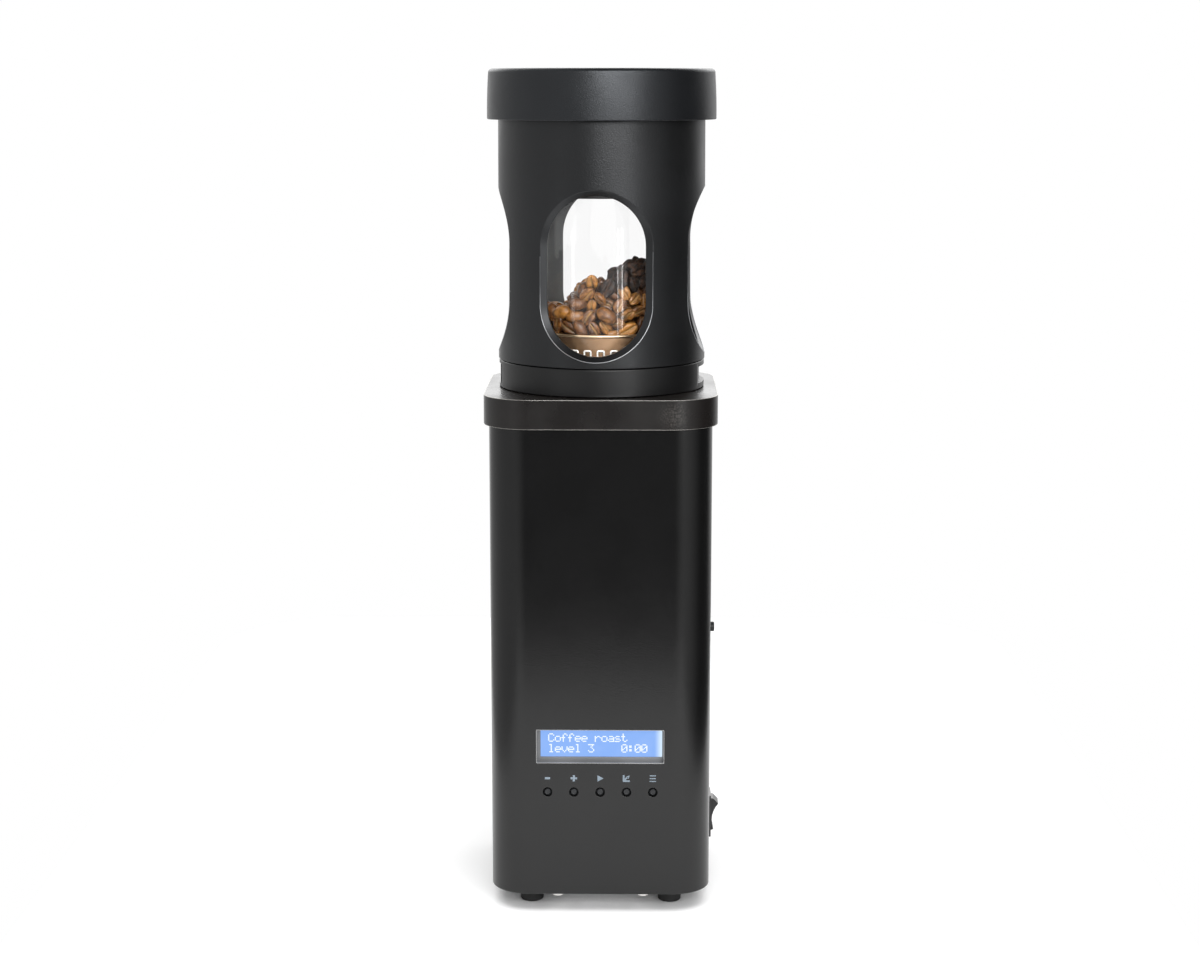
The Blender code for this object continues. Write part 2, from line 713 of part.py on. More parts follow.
def build_side_screws(shop):
    """Two pan heads that hold the power board to the right wall."""
    length = BODY_WALL + FIT_GAP + POWER_STANDOFF
    points = pan_head_points(SIDE_SCREW_HEAD_RADIUS, SIDE_SCREW_HEAD_HEIGHT, SIDE_SCREW_SHANK_RADIUS, length)
    for name, y in zip(("side_screw_front", "side_screw_rear"), side_screw_places()):
        screw = turned_piece(shop, name, points, shop.base, (BLACK, 0.4, 1.0), TINY_STEPS, closed=False)
        screw.location = (BODY_HALF, y, SIDE_SCREW_Z)
        screw.rotation_euler = (0, -pi / 2, 0)


# Display and buttons


def bezel_front():
    """Y of the display frame's front face."""
    return FRONT_WALL_BACK + BEZEL_RECESS


def bezel_box():
    """Corners of the display frame."""
    half = DISPLAY_WIDTH / 2 + BEZEL_RIM
    low = (-half, bezel_front(), DISPLAY_CENTRE_Z - DISPLAY_HEIGHT / 2 - BEZEL_RIM)
    high = (half, bezel_front() + BEZEL_DEPTH, DISPLAY_CENTRE_Z + DISPLAY_HEIGHT / 2 + BEZEL_RIM)
    return low, high


def grown(low, high, by):
    """Box corners moved outwards on the X and Z sides."""
    return (low[0] - by, low[1], low[2] - by), (high[0] + by, high[1], high[2] + by)


def build_display(shop):
    """Metal frame with the display panel in it."""
    low, high = bezel_box()
    bezel = shop.add("lcd_bezel", box("lcd_bezel", low, high), shop.base, (STEEL, 0.4, 1.0))
    centre_x = BEZEL_WINDOW_SHIFT_X
    centre_z = DISPLAY_CENTRE_Z + BEZEL_WINDOW_SHIFT_Z
    half_x, half_z = BEZEL_WINDOW_WIDTH / 2, BEZEL_WINDOW_HEIGHT / 2
    window = box("bezel_window", (centre_x - half_x, low[1] - CUT_OVERRUN, centre_z - half_z),
                 (centre_x + half_x, high[1] + CUT_OVERRUN, centre_z + half_z))
    cut(bezel, shop.tool("bezel_window", window))
    pocket_low, pocket_high = grown(low, high, -BEZEL_FACE)
    pocket_low = (pocket_low[0], low[1] + BEZEL_FACE, pocket_low[2])
    pocket = box("bezel_pocket", pocket_low, (pocket_high[0], high[1] + CUT_OVERRUN, pocket_high[2]))
    cut(bezel, shop.tool("bezel_pocket", pocket))
    inside_low, inside_high = grown(pocket_low, (pocket_high[0], 0, pocket_high[2]), -FIT_GAP)
    front = pocket_low[1] + FIT_GAP
    panel = box("lcd_panel", (inside_low[0], front, inside_low[2]),
                (inside_high[0], front + PANEL_THICKNESS, inside_high[2]))
    shop.add("lcd_panel", panel, shop.base, (LCD_BLUE, 0.2, 0.0))


def carrier_span():
    """Width and height limits of the carrier behind the front wall."""
    low, high = bezel_box()
    bottom = BUTTON_Z - BUTTON_HOLE_RADIUS - BUTTON_FLANGE - CARRIER_RIM
    side = max(high[0], button_places()[-1] + BUTTON_HOLE_RADIUS + BUTTON_FLANGE) + CARRIER_RIM
    return side, bottom, high[2] + CARRIER_RIM


def corner_setback(x):
    """How far the housing's inner wall curves away from its front at a place across it."""
    past = max(x - (BODY_INNER_HALF - BODY_INNER_CORNER), 0)
    return BODY_INNER_CORNER - sqrt(BODY_INNER_CORNER ** 2 - past ** 2)


def carrier_front():
    """Y of the carrier's front face, clear of the housing's rounded corners."""
    return FRONT_WALL_BACK + FIT_GAP + corner_setback(carrier_span()[0])


def build_carrier(shop):
    """Moulded carrier that holds the display frame and guides the buttons."""
    side, bottom, top = carrier_span()
    front = carrier_front()
    carrier = shop.add("panel_carrier", box("panel_carrier", (-side, front, bottom),
                                            (side, front + CARRIER_DEPTH, top)),
                       shop.base, (BLACK, 0.6, 0.0))
    low, high = grown(*bezel_box(), FIT_GAP)
    pocket = box("carrier_window", (low[0], front - CUT_OVERRUN, low[2]),
                 (high[0], front + CARRIER_DEPTH + CUT_OVERRUN, high[2]))
    cut(carrier, shop.tool("carrier_window", pocket))
    bm = bmesh.new()
    for x in button_places():
        add_rod(bm, (x, front - CUT_OVERRUN, BUTTON_Z), (x, front + CARRIER_DEPTH + CUT_OVERRUN, BUTTON_Z),
                BUTTON_HOLE_RADIUS + BUTTON_FLANGE)
    cut(carrier, shop.tool("carrier_bores", mesh_from("carrier_bores", bm)))


def board_front():
    """Y of the control board's front face."""
    return carrier_front() + CARRIER_DEPTH + FIT_GAP


def build_control_board(shop):
    """Control board with a key switch behind each button."""
    side, bottom, top = carrier_span()
    front = board_front()
    board = shop.add("control_board", box("control_board", (-side, front, bottom),
                                          (side, front + CONTROL_BOARD_THICKNESS, top)),
                     shop.base, (BOARD_GREEN, 0.5, 0.0))
    bm = bmesh.new()
    half = SWITCH_BODY_SIDE / 2
    reach = min(half, BUTTON_HOLE_RADIUS + BUTTON_FLANGE - FIT_GAP) / sqrt(2)
    for x in button_places():
        add_box(bm, (x - reach, front - SWITCH_BODY_DEPTH, BUTTON_Z - reach),
                (x + reach, front + FUSE_DEPTH, BUTTON_Z + reach))
    fuse(board, shop.tool("key_switches", mesh_from("key_switches", bm)))


def build_buttons(shop):
    """Five round buttons, each on its own slide axis."""
    names = ("button_minus", "button_plus", "button_start", "button_profile", "button_menu")
    stem_end = board_front() - SWITCH_BODY_DEPTH - FIT_GAP - BUTTON_TRAVEL
    front = -BODY_HALF + BUTTON_SUNK
    flange = FRONT_WALL_BACK + FIT_GAP
    bore = BUTTON_HOLE_RADIUS + BUTTON_FLANGE - FIT_GAP
    stem = BUTTON_RADIUS * BUTTON_STEM_SHARE
    points = [(0, -front), (BUTTON_RADIUS, -front), (BUTTON_RADIUS, -flange), (bore, -flange),
              (bore, -flange - BUTTON_FLANGE_THICKNESS), (stem, -flange - BUTTON_FLANGE_THICKNESS),
              (stem, -stem_end), (0, -stem_end)]
    look = (BUTTON_GREY, 0.5, 0.0)
    for name, x in zip(names, button_places()):
        button = turned_piece(shop, name, points, shop.base, look, SMALL_STEPS, closed=False)
        button.location = (x, 0, BUTTON_Z)
        button.rotation_euler = (pi / 2, 0, 0)


# Rocker switch and mains inlet


def rocker_pivot():
    """Place of the rocker's axis."""
    return Vector((BODY_HALF - ROCKER_PIVOT_DEPTH, 0, SWITCH_Z))


def rocker_radius():
    """Farthest the rocker reaches from its axis inside the well."""
    shoulder = ROCKER_TIP_REACH + ROCKER_TIP_HEIGHT - ROCKER_SHOULDER_HEIGHT - ROCKER_DISH / 2
    return hypot(shoulder, ROCKER_SHOULDER_HEIGHT)


def switch_body_halves():
    """Half width and half height of the switch body behind the flange."""
    return SWITCH_FLANGE_WIDTH / 2 - SWITCH_RIM, SWITCH_FLANGE_HEIGHT / 2 - SWITCH_RIM / 2


def rocker_half_width():
    """Half width of the rocker in its well."""
    return switch_body_halves()[0] - SWITCH_RIM - FIT_GAP


def build_switch(shop):
    """Frame of the rocker switch with its well, and the rocker."""
    half_y, half_z = switch_body_halves()
    outer = BODY_HALF + FIT_GAP + SWITCH_FLANGE_THICKNESS
    flange_y, flange_z = SWITCH_FLANGE_WIDTH / 2, SWITCH_FLANGE_HEIGHT / 2
    flange = box("switch_frame", (BODY_HALF + FIT_GAP, -flange_y, SWITCH_Z - flange_z),
                 (outer, flange_y, SWITCH_Z + flange_z))
    frame = shop.add("switch_frame", flange, shop.base, (BLACK, 0.3, 0.0))
    body = box("switch_body", (BODY_HALF - SWITCH_DEPTH, -half_y, SWITCH_Z - half_z),
               (outer - SWITCH_FLANGE_THICKNESS / 2, half_y, SWITCH_Z + half_z))
    fuse(frame, shop.tool("switch_body", body))
    reach = rocker_radius() + FIT_GAP
    width = rocker_half_width() + FIT_GAP
    well = box("switch_well", (BODY_HALF - SWITCH_WELL_DEPTH, -width, SWITCH_Z - reach),
               (outer + CUT_OVERRUN, width, SWITCH_Z + reach))
    cut(frame, shop.tool("switch_well", well))
    rocker = shop.add("switch_rocker", rocker_mesh(), shop.base, (BLACK, 0.3, 0.0))
    rocker.location = rocker_pivot()
    rocker.rotation_euler = (0, ROCKER_TILT, 0)


def rocker_mesh():
    """Rocker with a dished face between two tips, about its own axis."""
    reach = sqrt(rocker_radius() ** 2 - ROCKER_SHOULDER_HEIGHT ** 2)
    keel = reach - ROCKER_END_LEAN
    stations = 6
    face = []
    for i in range(stations + 1):
        share = 1 - 2 * i / stations
        face.append((ROCKER_TIP_HEIGHT - ROCKER_DISH * (1 - share * share), ROCKER_TIP_REACH * share))
    outline = [(-ROCKER_KEEL, keel), (ROCKER_SHOULDER_HEIGHT, reach), *face,
               (ROCKER_SHOULDER_HEIGHT, -reach), (-ROCKER_KEEL, -keel)]
    return extrude_side("switch_rocker", outline, rocker_half_width())


def build_inlet(shop):
    """Mains inlet: a keyed socket with three flat pins."""
    half_x, half_z = INLET_WIDTH / 2, INLET_HEIGHT / 2
    face = BODY_HALF + FIT_GAP
    outer = face + INLET_FLANGE_THICKNESS
    flange = box("mains_inlet", (-half_x - INLET_LIP, face, INLET_Z - half_z - INLET_LIP),
                 (half_x + INLET_LIP, outer, INLET_Z + half_z + INLET_LIP))
    inlet = shop.add("mains_inlet", flange, shop.base, (BLACK, 0.4, 0.0))
    back = face - INLET_DEPTH
    body = box("inlet_body", (-half_x, back, INLET_Z - half_z),
               (half_x, outer - INLET_FLANGE_THICKNESS / 2, INLET_Z + half_z))
    fuse(inlet, shop.tool("inlet_body", body))
    cut(inlet, shop.tool("inlet_socket", inlet_socket_mesh(back + INLET_FLOOR, outer + CUT_OVERRUN)))
    bm = bmesh.new()
    tip = back + INLET_FLOOR + PIN_LENGTH
    for x, z in ((-PIN_SPREAD, -PIN_RISE), (0, PIN_RISE), (PIN_SPREAD, -PIN_RISE)):
        add_box(bm, (x - PIN_WIDTH / 2, back + INLET_FLOOR - FUSE_DEPTH, INLET_Z + z - PIN_HEIGHT / 2),
                (x + PIN_WIDTH / 2, tip, INLET_Z + z + PIN_HEIGHT / 2))
    fuse(inlet, shop.tool("inlet_pins", mesh_from("inlet_pins", bm)))


def inlet_socket_mesh(start, end):
    """Socket hollow with its two keyed upper corners, along +Y."""
    half_x, half_z = INLET_WIDTH / 2 - INLET_WALL, INLET_HEIGHT / 2 - INLET_WALL
    key_x, key_z = half_x - INLET_KEY, half_z - INLET_KEY
    outline = [(-half_x, -half_z), (half_x, -half_z), (half_x, key_z), (key_x, half_z), (-key_x, half_z),
               (-half_x, key_z)]
    mesh = extrude_side("inlet_socket", outline, (end - start) / 2)
    mesh.transform(Matrix.Translation((0, (start + end) / 2, INLET_Z)))
    return mesh


def build_power_board(shop):
    """Board with the heater's switching parts, on two bosses at the right wall."""
    wall = BODY_INNER_HALF - FIT_GAP
    back = wall - POWER_STANDOFF
    half_y = SIDE_SCREW_PITCH / 2 + POWER_BOARD_SIDE_MARGIN
    low_z = SIDE_SCREW_Z - POWER_BOARD_DROP
    front = back - POWER_BOARD_THICKNESS
    board = shop.add("power_board", box("power_board", (front, -half_y, low_z),
                                        (back, half_y, low_z + POWER_BOARD_HEIGHT)),
                     shop.base, (BOARD_GREEN, 0.5, 0.0))
    bm = bmesh.new()
    for y in side_screw_places():
        add_rod(bm, (back - FUSE_DEPTH, y, SIDE_SCREW_Z), (wall, y, SIDE_SCREW_Z), POWER_BOSS_RADIUS)
    fuse(board, shop.tool("board_bosses", mesh_from("board_bosses", bm)))
    drill = bmesh.new()
    for y in side_screw_places():
        add_rod(drill, (front - CUT_OVERRUN, y, SIDE_SCREW_Z), (wall + CUT_OVERRUN, y, SIDE_SCREW_Z),
                SIDE_SCREW_SHANK_RADIUS + FIT_GAP)
    cut(board, shop.tool("boss_holes", mesh_from("boss_holes", drill)))
    fuse(board, shop.tool("board_parts", power_parts_mesh(front, low_z + POWER_PART_SEAT)))


def power_parts_mesh(front, seat):
    """Heat sink, capacitor and terminal block on the power board."""
    bm = bmesh.new()
    for middle, size in ((-POWER_PART_SPACING, HEAT_SINK_SIZE), (POWER_PART_SPACING, TERMINAL_SIZE)):
        depth, width, height = size
        add_box(bm, (front - depth, middle - width / 2, seat),
                (front + FUSE_DEPTH, middle + width / 2, seat + height))
    level = seat + CAPACITOR_RADIUS
    add_rod(bm, (front - CAPACITOR_HEIGHT, 0, level), (front + FUSE_DEPTH, 0, level), CAPACITOR_RADIUS)
    return mesh_from("board_parts", bm)


# Blower


def build_stand(shop):
    """Stand with four legs on pads, and a plate with the air eye."""
    half = STAND_LEG_PITCH / 2 + STAND_LEG_RADIUS + STAND_PLATE_MARGIN
    under = STAND_TOP - STAND_PLATE
    mesh = rounded_prism("blower_stand", half, half, under, STAND_TOP, BODY_CORNER_RADIUS / 2, 3)
    stand = shop.add("blower_stand", mesh, shop.base, (STEEL, 0.5, 1.0))
    foot = BASE_TOP + FIT_GAP
    legs, holes = bmesh.new(), bmesh.new()
    screws = corner_places(BASE_SCREW_PITCH_X, BASE_SCREW_PITCH_Y)
    for (x, y), (sx, sy) in zip(corner_places(STAND_LEG_PITCH, STAND_LEG_PITCH), screws):
        add_rod(legs, (x, y, foot + STAND_PAD_HEIGHT - FUSE_DEPTH), (x, y, under + FUSE_DEPTH),
                STAND_LEG_RADIUS, TINY_STEPS)
        add_rod(holes, (sx, sy, foot - CUT_OVERRUN), (sx, sy, foot + STAND_PAD_HEIGHT + CUT_OVERRUN),
                BASE_SCREW_SHANK_RADIUS + FIT_GAP, TINY_STEPS)
    fuse(stand, shop.tool("stand_legs", mesh_from("stand_legs", legs)))
    pads = bmesh.new()
    for (x, y), (sx, sy) in zip(corner_places(STAND_LEG_PITCH, STAND_LEG_PITCH), screws):
        margin = max(STAND_LEG_RADIUS, BASE_SCREW_SHANK_RADIUS + FIT_GAP) + STAND_PAD_MARGIN / 2
        add_box(pads, (min(x, sx) - margin, min(y, sy) - margin, foot),
                (max(x, sx) + margin, max(y, sy) + margin, foot + STAND_PAD_HEIGHT))
    fuse(stand, shop.tool("stand_pads", mesh_from("stand_pads", pads)))
    cut(stand, shop.tool("pad_holes", mesh_from("pad_holes", holes)))
    cut(stand, shop.tool("stand_eye", eye_cutter()))


def eye_cutter():
    """Bore for the motor boss and the curved air slots round it."""
    bm = bmesh.new()
    low = STAND_TOP - STAND_PLATE - CUT_OVERRUN
    high = STAND_TOP + FIT_GAP + BLOWER_WALL + CUT_OVERRUN
    sweep = radians(EYE_SLOT_DEGREES)
    for i in range(EYE_SLOT_COUNT):
        start = 2 * pi * i / EYE_SLOT_COUNT
        add_sector(bm, EYE_INNER_RADIUS, EYE_OUTER_RADIUS, low, high, start, sweep, EYE_SLOT_STEPS)
    add_rod(bm, (0, 0, low), (0, 0, high), MOTOR_BOSS_RADIUS + FIT_GAP)
    return mesh_from("eye", bm)


def build_motor(shop):
    """Motor can under the stand plate, with a bored boss for the shaft."""
    top = STAND_TOP - STAND_PLATE - FIT_GAP
    band = MOTOR_HEIGHT / 6
    boss = top + MOTOR_BOSS_HEIGHT
    inner = MOTOR_RADIUS - MOTOR_BAND_DEPTH
    bore = SHAFT_RADIUS + SHAFT_CLEARANCE
    points = [(bore, boss), (MOTOR_BOSS_RADIUS, boss), (MOTOR_BOSS_RADIUS, top), (MOTOR_RADIUS, top),
              (MOTOR_RADIUS, top - band), (inner, top - band), (inner, top - 5 * band),
              (MOTOR_RADIUS, top - 5 * band), (MOTOR_RADIUS, top - MOTOR_HEIGHT), (0, top - MOTOR_HEIGHT),
              (0, top - MOTOR_BORE_DEPTH), (bore, top - MOTOR_BORE_DEPTH), (bore, boss)]
    turned_piece(shop, "blower_motor", points[:-1], shop.base, (STEEL, 0.4, 1.0), MOTOR_STEPS)


def wheel_bottom():
    """Height of the wheel's lower ring."""
    return STAND_TOP + FIT_GAP + BLOWER_WALL + WHEEL_CLEARANCE


def build_fan(shop):
    """Shaft and wheel on the fan axis."""
    start = STAND_TOP - STAND_PLATE - MOTOR_BORE_DEPTH + WHEEL_CLEARANCE
    top = wheel_bottom() + WHEEL_HEIGHT
    shaft = shop.add("motor_shaft", rod("motor_shaft", (0, 0, start), (0, 0, top), SHAFT_RADIUS, TINY_STEPS),
                     shop.fan, (STEEL, 0.3, 1.0))
    soften(shaft, FIT_GAP, 1)
    build_wheel(shop, top)


def build_wheel(shop, top):
    """Open wheel: a disc with a hub, curved blades and an inlet ring."""
    bottom = wheel_bottom()
    bore = SHAFT_RADIUS + FIT_GAP
    disc = top - WHEEL_DISC
    hub = disc - WHEEL_HUB_HEIGHT
    points = [(WHEEL_RADIUS, top), (WHEEL_RADIUS, disc), (WHEEL_HUB_RADIUS, disc), (WHEEL_HUB_RADIUS, hub),
              (bore, hub), (bore, top)]
    wheel = turned_piece(shop, "blower_wheel", points, shop.fan, (BLACK, 0.5, 0.0), HIDDEN_STEPS)
    blades = bmesh.new()
    for i in range(BLADE_COUNT):
        add_blade(blades, 2 * pi * i / BLADE_COUNT, bottom + WHEEL_DISC / 2, disc + WHEEL_DISC / 2)
    fuse(wheel, shop.tool("wheel_blades", mesh_from("wheel_blades", blades)))
    ring = ring_profile(WHEEL_RADIUS - WHEEL_RING_WIDTH, WHEEL_RADIUS, bottom, bottom + WHEEL_DISC)
    fuse(wheel, turned_tool(shop, "wheel_ring", ring, HIDDEN_STEPS))


def add_blade(bm, turn_angle, low, high):
    """Add one curved blade between the wheel's ring and its rim."""
    inner, outer = WHEEL_RADIUS - WHEEL_RING_WIDTH + FIT_GAP, WHEEL_RADIUS - FIT_GAP
    sides = ([], [])
    for i in range(BLADE_STATIONS):
        share = i / (BLADE_STATIONS - 1)
        radius = inner + (outer - inner) * share
        angle = turn_angle + BLADE_SWEEP * share * share
        for side, shift in zip(sides, (-BLADE_THICKNESS / 2, BLADE_THICKNESS / 2)):
            bend = angle + shift / radius
            side.append((radius * cos(bend), radius * sin(bend)))
    outline = sides[0] + sides[1][::-1]
    lower = [bm.verts.new((x, y, low)) for x, y in outline]
    face = bm.faces.new(lower)
    raised = bmesh.ops.extrude_face_region(bm, geom=[face])
    moved = [v for v in raised["geom"] if isinstance(v, bmesh.types.BMVert)]
    bmesh.ops.translate(bm, verts=moved, vec=(0, 0, high - low))
    bmesh.ops.recalc_face_normals(bm, faces=bm.faces)


def blower_top():
    """Height of the cylindrical wall of the blower housing."""
    return STAND_TOP + FIT_GAP + BLOWER_HEIGHT


def neck_bottom():
    """Height at which the blower housing's neck starts."""
    return blower_top() + BLOWER_CONE_HEIGHT


def build_blower_housing(shop):
    """Cup round the wheel, closing to a neck that holds the heater tube."""
    low = STAND_TOP + FIT_GAP
    neck_inner = HEATER_RADIUS + ROUND_GAP
    neck_outer = neck_inner + BLOWER_WALL
    neck_top = neck_bottom() + BLOWER_NECK_HEIGHT
    inner = BLOWER_RADIUS - BLOWER_WALL
    lip = HEATER_RADIUS - HEATER_WALL
    bore = MOTOR_BOSS_RADIUS + ROUND_GAP
    points = [(neck_outer, neck_top), (neck_outer, neck_bottom()), (BLOWER_RADIUS, blower_top()),
              (BLOWER_RADIUS, low), (bore, low), (bore, low + BLOWER_WALL), (inner, low + BLOWER_WALL),
              (inner, blower_top() - BLOWER_WALL), (lip, neck_bottom() - BLOWER_WALL), (lip, neck_bottom()),
              (neck_inner, neck_bottom()), (neck_inner, neck_top)]
    housing = turned_piece(shop, "blower_housing", points, shop.base, (BLACK, 0.5, 0.0), HIDDEN_STEPS)
    cut(housing, shop.tool("housing_eye", eye_cutter()))


# Heater


def heater_bottom():
    """Height of the heater tube's lower end."""
    return neck_bottom() + FIT_GAP


def heater_top():
    """Height of the heater tube's upper end, under the seat's lip."""
    return seat_lip_bottom() - FIT_GAP


def probe_z():
    """Height of the temperature probe."""
    return heater_top() - PROBE_DROP


def build_heater_tube(shop):
    """Steel tube round the heater, drilled for the probe."""
    points = ring_profile(HEATER_RADIUS - HEATER_WALL, HEATER_RADIUS, heater_bottom(), heater_top())
    tube = turned_piece(shop, "heater_tube", points, shop.base, (STEEL, 0.4, 1.0), HIDDEN_STEPS)
    hole = rod("probe_hole", (0, 0, probe_z()), (HEATER_RADIUS + CUT_OVERRUN, 0, probe_z()),
               PROBE_RADIUS + ROUND_GAP, SMALL_STEPS)
    cut(tube, shop.tool("probe_hole", hole))


def card_top():
    """Height of the top of the heater cards."""
    return heater_top() - CARD_DROP


def build_heater_former(shop):
    """Two crossed insulating cards, waisted where the coil winds."""
    reach = (HEATER_RADIUS - HEATER_WALL) * cos(pi / HIDDEN_STEPS) - FIT_GAP
    top, half = card_top(), CARD_THICKNESS / 2
    low = top - CARD_HEIGHT
    former = shop.add("heater_former", box("heater_former", (-reach, -half, low), (reach, half, top)),
                      shop.base, (CARD_TAN, 0.8, 0.0))
    fuse(former, shop.tool("cross_card", box("cross_card", (-half, -reach, low), (half, reach, top))))
    waist = ring_profile(COIL_CORE_RADIUS, HEATER_RADIUS, low + CARD_END_HEIGHT, top - CARD_END_HEIGHT)
    cut(former, turned_tool(shop, "coil_space", waist, MOTOR_STEPS))
    former.rotation_euler = (0, 0, pi / 4)


def build_heater_coil(shop):
    """Heating wire wound round the cards."""
    radius = COIL_CORE_RADIUS + FIT_GAP + WIRE_RADIUS
    margin = CARD_END_HEIGHT + FIT_GAP + 2 * WIRE_RADIUS
    low, high = card_top() - CARD_HEIGHT + margin, card_top() - margin
    curve = bpy.data.curves.new("heater_coil", "CURVE")
    curve.dimensions = "3D"
    curve.bevel_depth = WIRE_RADIUS
    curve.bevel_resolution = 0
    curve.use_fill_caps = True
    spline = curve.splines.new("POLY")
    count = COIL_TURNS * COIL_POINTS_PER_TURN
    spline.points.add(count)
    for i, point in enumerate(spline.points):
        angle = 2 * pi * i / COIL_POINTS_PER_TURN
        point.co = (radius * cos(angle), radius * sin(angle), low + (high - low) * i / count, 1)
    coil = bpy.data.objects.new("heater_coil", curve)
    shop.parts.objects.link(coil)
    curve.materials.append(new_material("heater_coil_finish", STEEL, 0.4, 1.0))
    coil.parent = shop.base


def build_probe(shop):
    """Temperature probe through the wall of the heater tube."""
    wall = HEATER_RADIUS + FIT_GAP
    inner = HEATER_RADIUS - HEATER_WALL - PROBE_REACH
    probe = shop.add("temperature_probe", rod("temperature_probe", (inner, 0, probe_z()),
                                              (wall + PROBE_HEAD_LENGTH, 0, probe_z()), PROBE_RADIUS),
                     shop.base, (STEEL, 0.3, 1.0))
    head = rod("probe_head", (wall, 0, probe_z()), (wall + PROBE_HEAD_LENGTH * 2 / 3, 0, probe_z()),
               PROBE_HEAD_RADIUS, 6)
    fuse(probe, shop.tool("probe_head", head))


def build_thermal_cutout(shop):
    """Thermal cut-out on a small plate against the heater tube."""
    face = -HEATER_RADIUS - FIT_GAP
    middle = heater_top() - CUTOUT_DROP
    half = CUTOUT_RADIUS + CUTOUT_PLATE_MARGIN
    plate = box("thermal_cutout", (face - CUTOUT_PLATE, -half, middle - CUTOUT_RADIUS),
                (face, half, middle + CUTOUT_RADIUS))
    cutout = shop.add("thermal_cutout", plate, shop.base, (COPPER, 0.5, 0.5))
    can = rod("cutout_can", (face - CUTOUT_PLATE + FUSE_DEPTH, 0, middle),
              (face - CUTOUT_PLATE - CUTOUT_DEPTH, 0, middle), CUTOUT_RADIUS * 0.9)
    fuse(cutout, shop.tool("cutout_can", can))


# Seat, basket, collar and glass


def basket_radius():
    """Outer radius of the basket's wall."""
    return GLASS_BORE_RADIUS - BASKET_TO_GLASS_GAP


def seat_outer_radius():
    """Outer radius of the metal seat in the cap's bore."""
    return basket_radius() + ROUND_GAP + SEAT_WALL


def seat_lip_top():
    """Height of the lip that the basket stands on."""
    return CAP_TOP - BASKET_DROP - FIT_GAP


def seat_lip_bottom():
    """Height of the lip's underside, over the heater tube."""
    return seat_lip_top() - SEAT_LIP_THICKNESS


def build_seat(shop):
    """Stepped metal ring: basket above the lip, heater tube below it."""
    outer, bore = seat_outer_radius(), basket_radius() + ROUND_GAP
    flange = outer + SEAT_FLANGE_WIDTH
    flange_top = CAP_UNDERSIDE - FIT_GAP
    flange_low = flange_top - SEAT_FLANGE_THICKNESS
    skirt_low = seat_lip_bottom() - SEAT_SKIRT_DEPTH
    tube = HEATER_RADIUS + ROUND_GAP
    lip = bore - SEAT_LIP
    points = [(outer, CAP_TOP - FIT_GAP), (outer, flange_top), (flange, flange_top), (flange, flange_low),
              (outer, flange_low), (outer, skirt_low), (tube, skirt_low), (tube, seat_lip_bottom()),
              (lip, seat_lip_bottom()), (lip, seat_lip_top()), (bore, seat_lip_top()),
              (bore, CAP_TOP - FIT_GAP)]
    turned_piece(shop, "seat_ring", points, shop.base, (STEEL, 0.4, 1.0), HIDDEN_STEPS)


def basket_rim():
    """Height of the basket's rim."""
    return COLLAR_TOP + BASKET_RISE


def basket_floor():
    """Height of the basket's underside."""
    return seat_lip_top() + FIT_GAP


def glass_seat():
    """Height of the collar's step under the glass."""
    return COLLAR_TOP - GLASS_SEAT_DEPTH


def build_basket(shop):
    """Deep drawn basket with a rolled rim, a shoulder and pressed louvres."""
    outer = basket_radius()
    inner = outer - BASKET_WALL
    floor, rim = basket_floor(), basket_rim()
    bead = outer + BASKET_RIM_BEAD
    shoulder_low = glass_seat() + FIT_GAP
    shoulder = outer + BASKET_SHOULDER
    shoulder_top = shoulder_low + BASKET_SHOULDER_HEIGHT
    lip = inner - BASKET_FLOOR_LIP
    points = [(bead, rim), (bead, rim - BASKET_RIM_HEIGHT), (outer, rim - BASKET_RIM_HEIGHT),
              (outer, shoulder_top), (shoulder, shoulder_top), (shoulder, shoulder_low),
              (outer, shoulder_low), (outer, floor), (lip, floor), (lip, floor + BASKET_WALL),
              (inner, floor + BASKET_WALL), (inner, rim)]
    basket = turned_piece(shop, "roast_basket", points, shop.chamber, (BRASS, 0.35, 0.9), BASKET_STEPS)
    cut(basket, shop.tool("louvre_cuts", louvre_cutter()))


def louvre_cutter():
    """Arched cuts that free the top and sides of each louvre tongue."""
    bm = bmesh.new()
    top = basket_rim() - LOUVRE_BELOW_RIM
    low = top - LOUVRE_HEIGHT
    start, end = basket_radius() - BASKET_WALL - CUT_OVERRUN, basket_radius() + CUT_OVERRUN
    half = LOUVRE_WIDTH / 2
    for i in range(LOUVRE_COUNT):
        angle = 2 * pi * (i + 0.5) / LOUVRE_COUNT
        add_arch(bm, (start, end), half, low, top, angle)
    return mesh_from("louvre_cuts", bm)


def add_arch(bm, depths, half, low, top, angle):
    """Add a three sided cut, open at the bottom, that runs along the radius."""
    inner = half - LOUVRE_CUT
    outline = [(-half, low), (-half, top), (half, top), (half, low), (inner, low), (inner, top - LOUVRE_CUT),
               (-inner, top - LOUVRE_CUT), (-inner, low)]
    spin = Matrix.Rotation(angle, 3, "Z")
    rings = [[bm.verts.new(spin @ Vector((depth, y, z))) for y, z in outline] for depth in depths]
    strips = ((0, 1, 6, 7), (1, 2, 5, 6), (2, 3, 4, 5))
    for a, b, c, d in strips:
        bm.faces.new([rings[0][i] for i in (a, b, c, d)])
        bm.faces.new([rings[1][i] for i in (d, c, b, a)])
    for i in range(len(outline)):
        j = (i + 1) % len(outline)
        bm.faces.new((rings[0][j], rings[0][i], rings[1][i], rings[1][j]))
    bmesh.ops.recalc_face_normals(bm, faces=bm.faces)


def plate_bottom():
    """Height of the distributor plate's underside."""
    return basket_floor() + BASKET_WALL + FIT_GAP


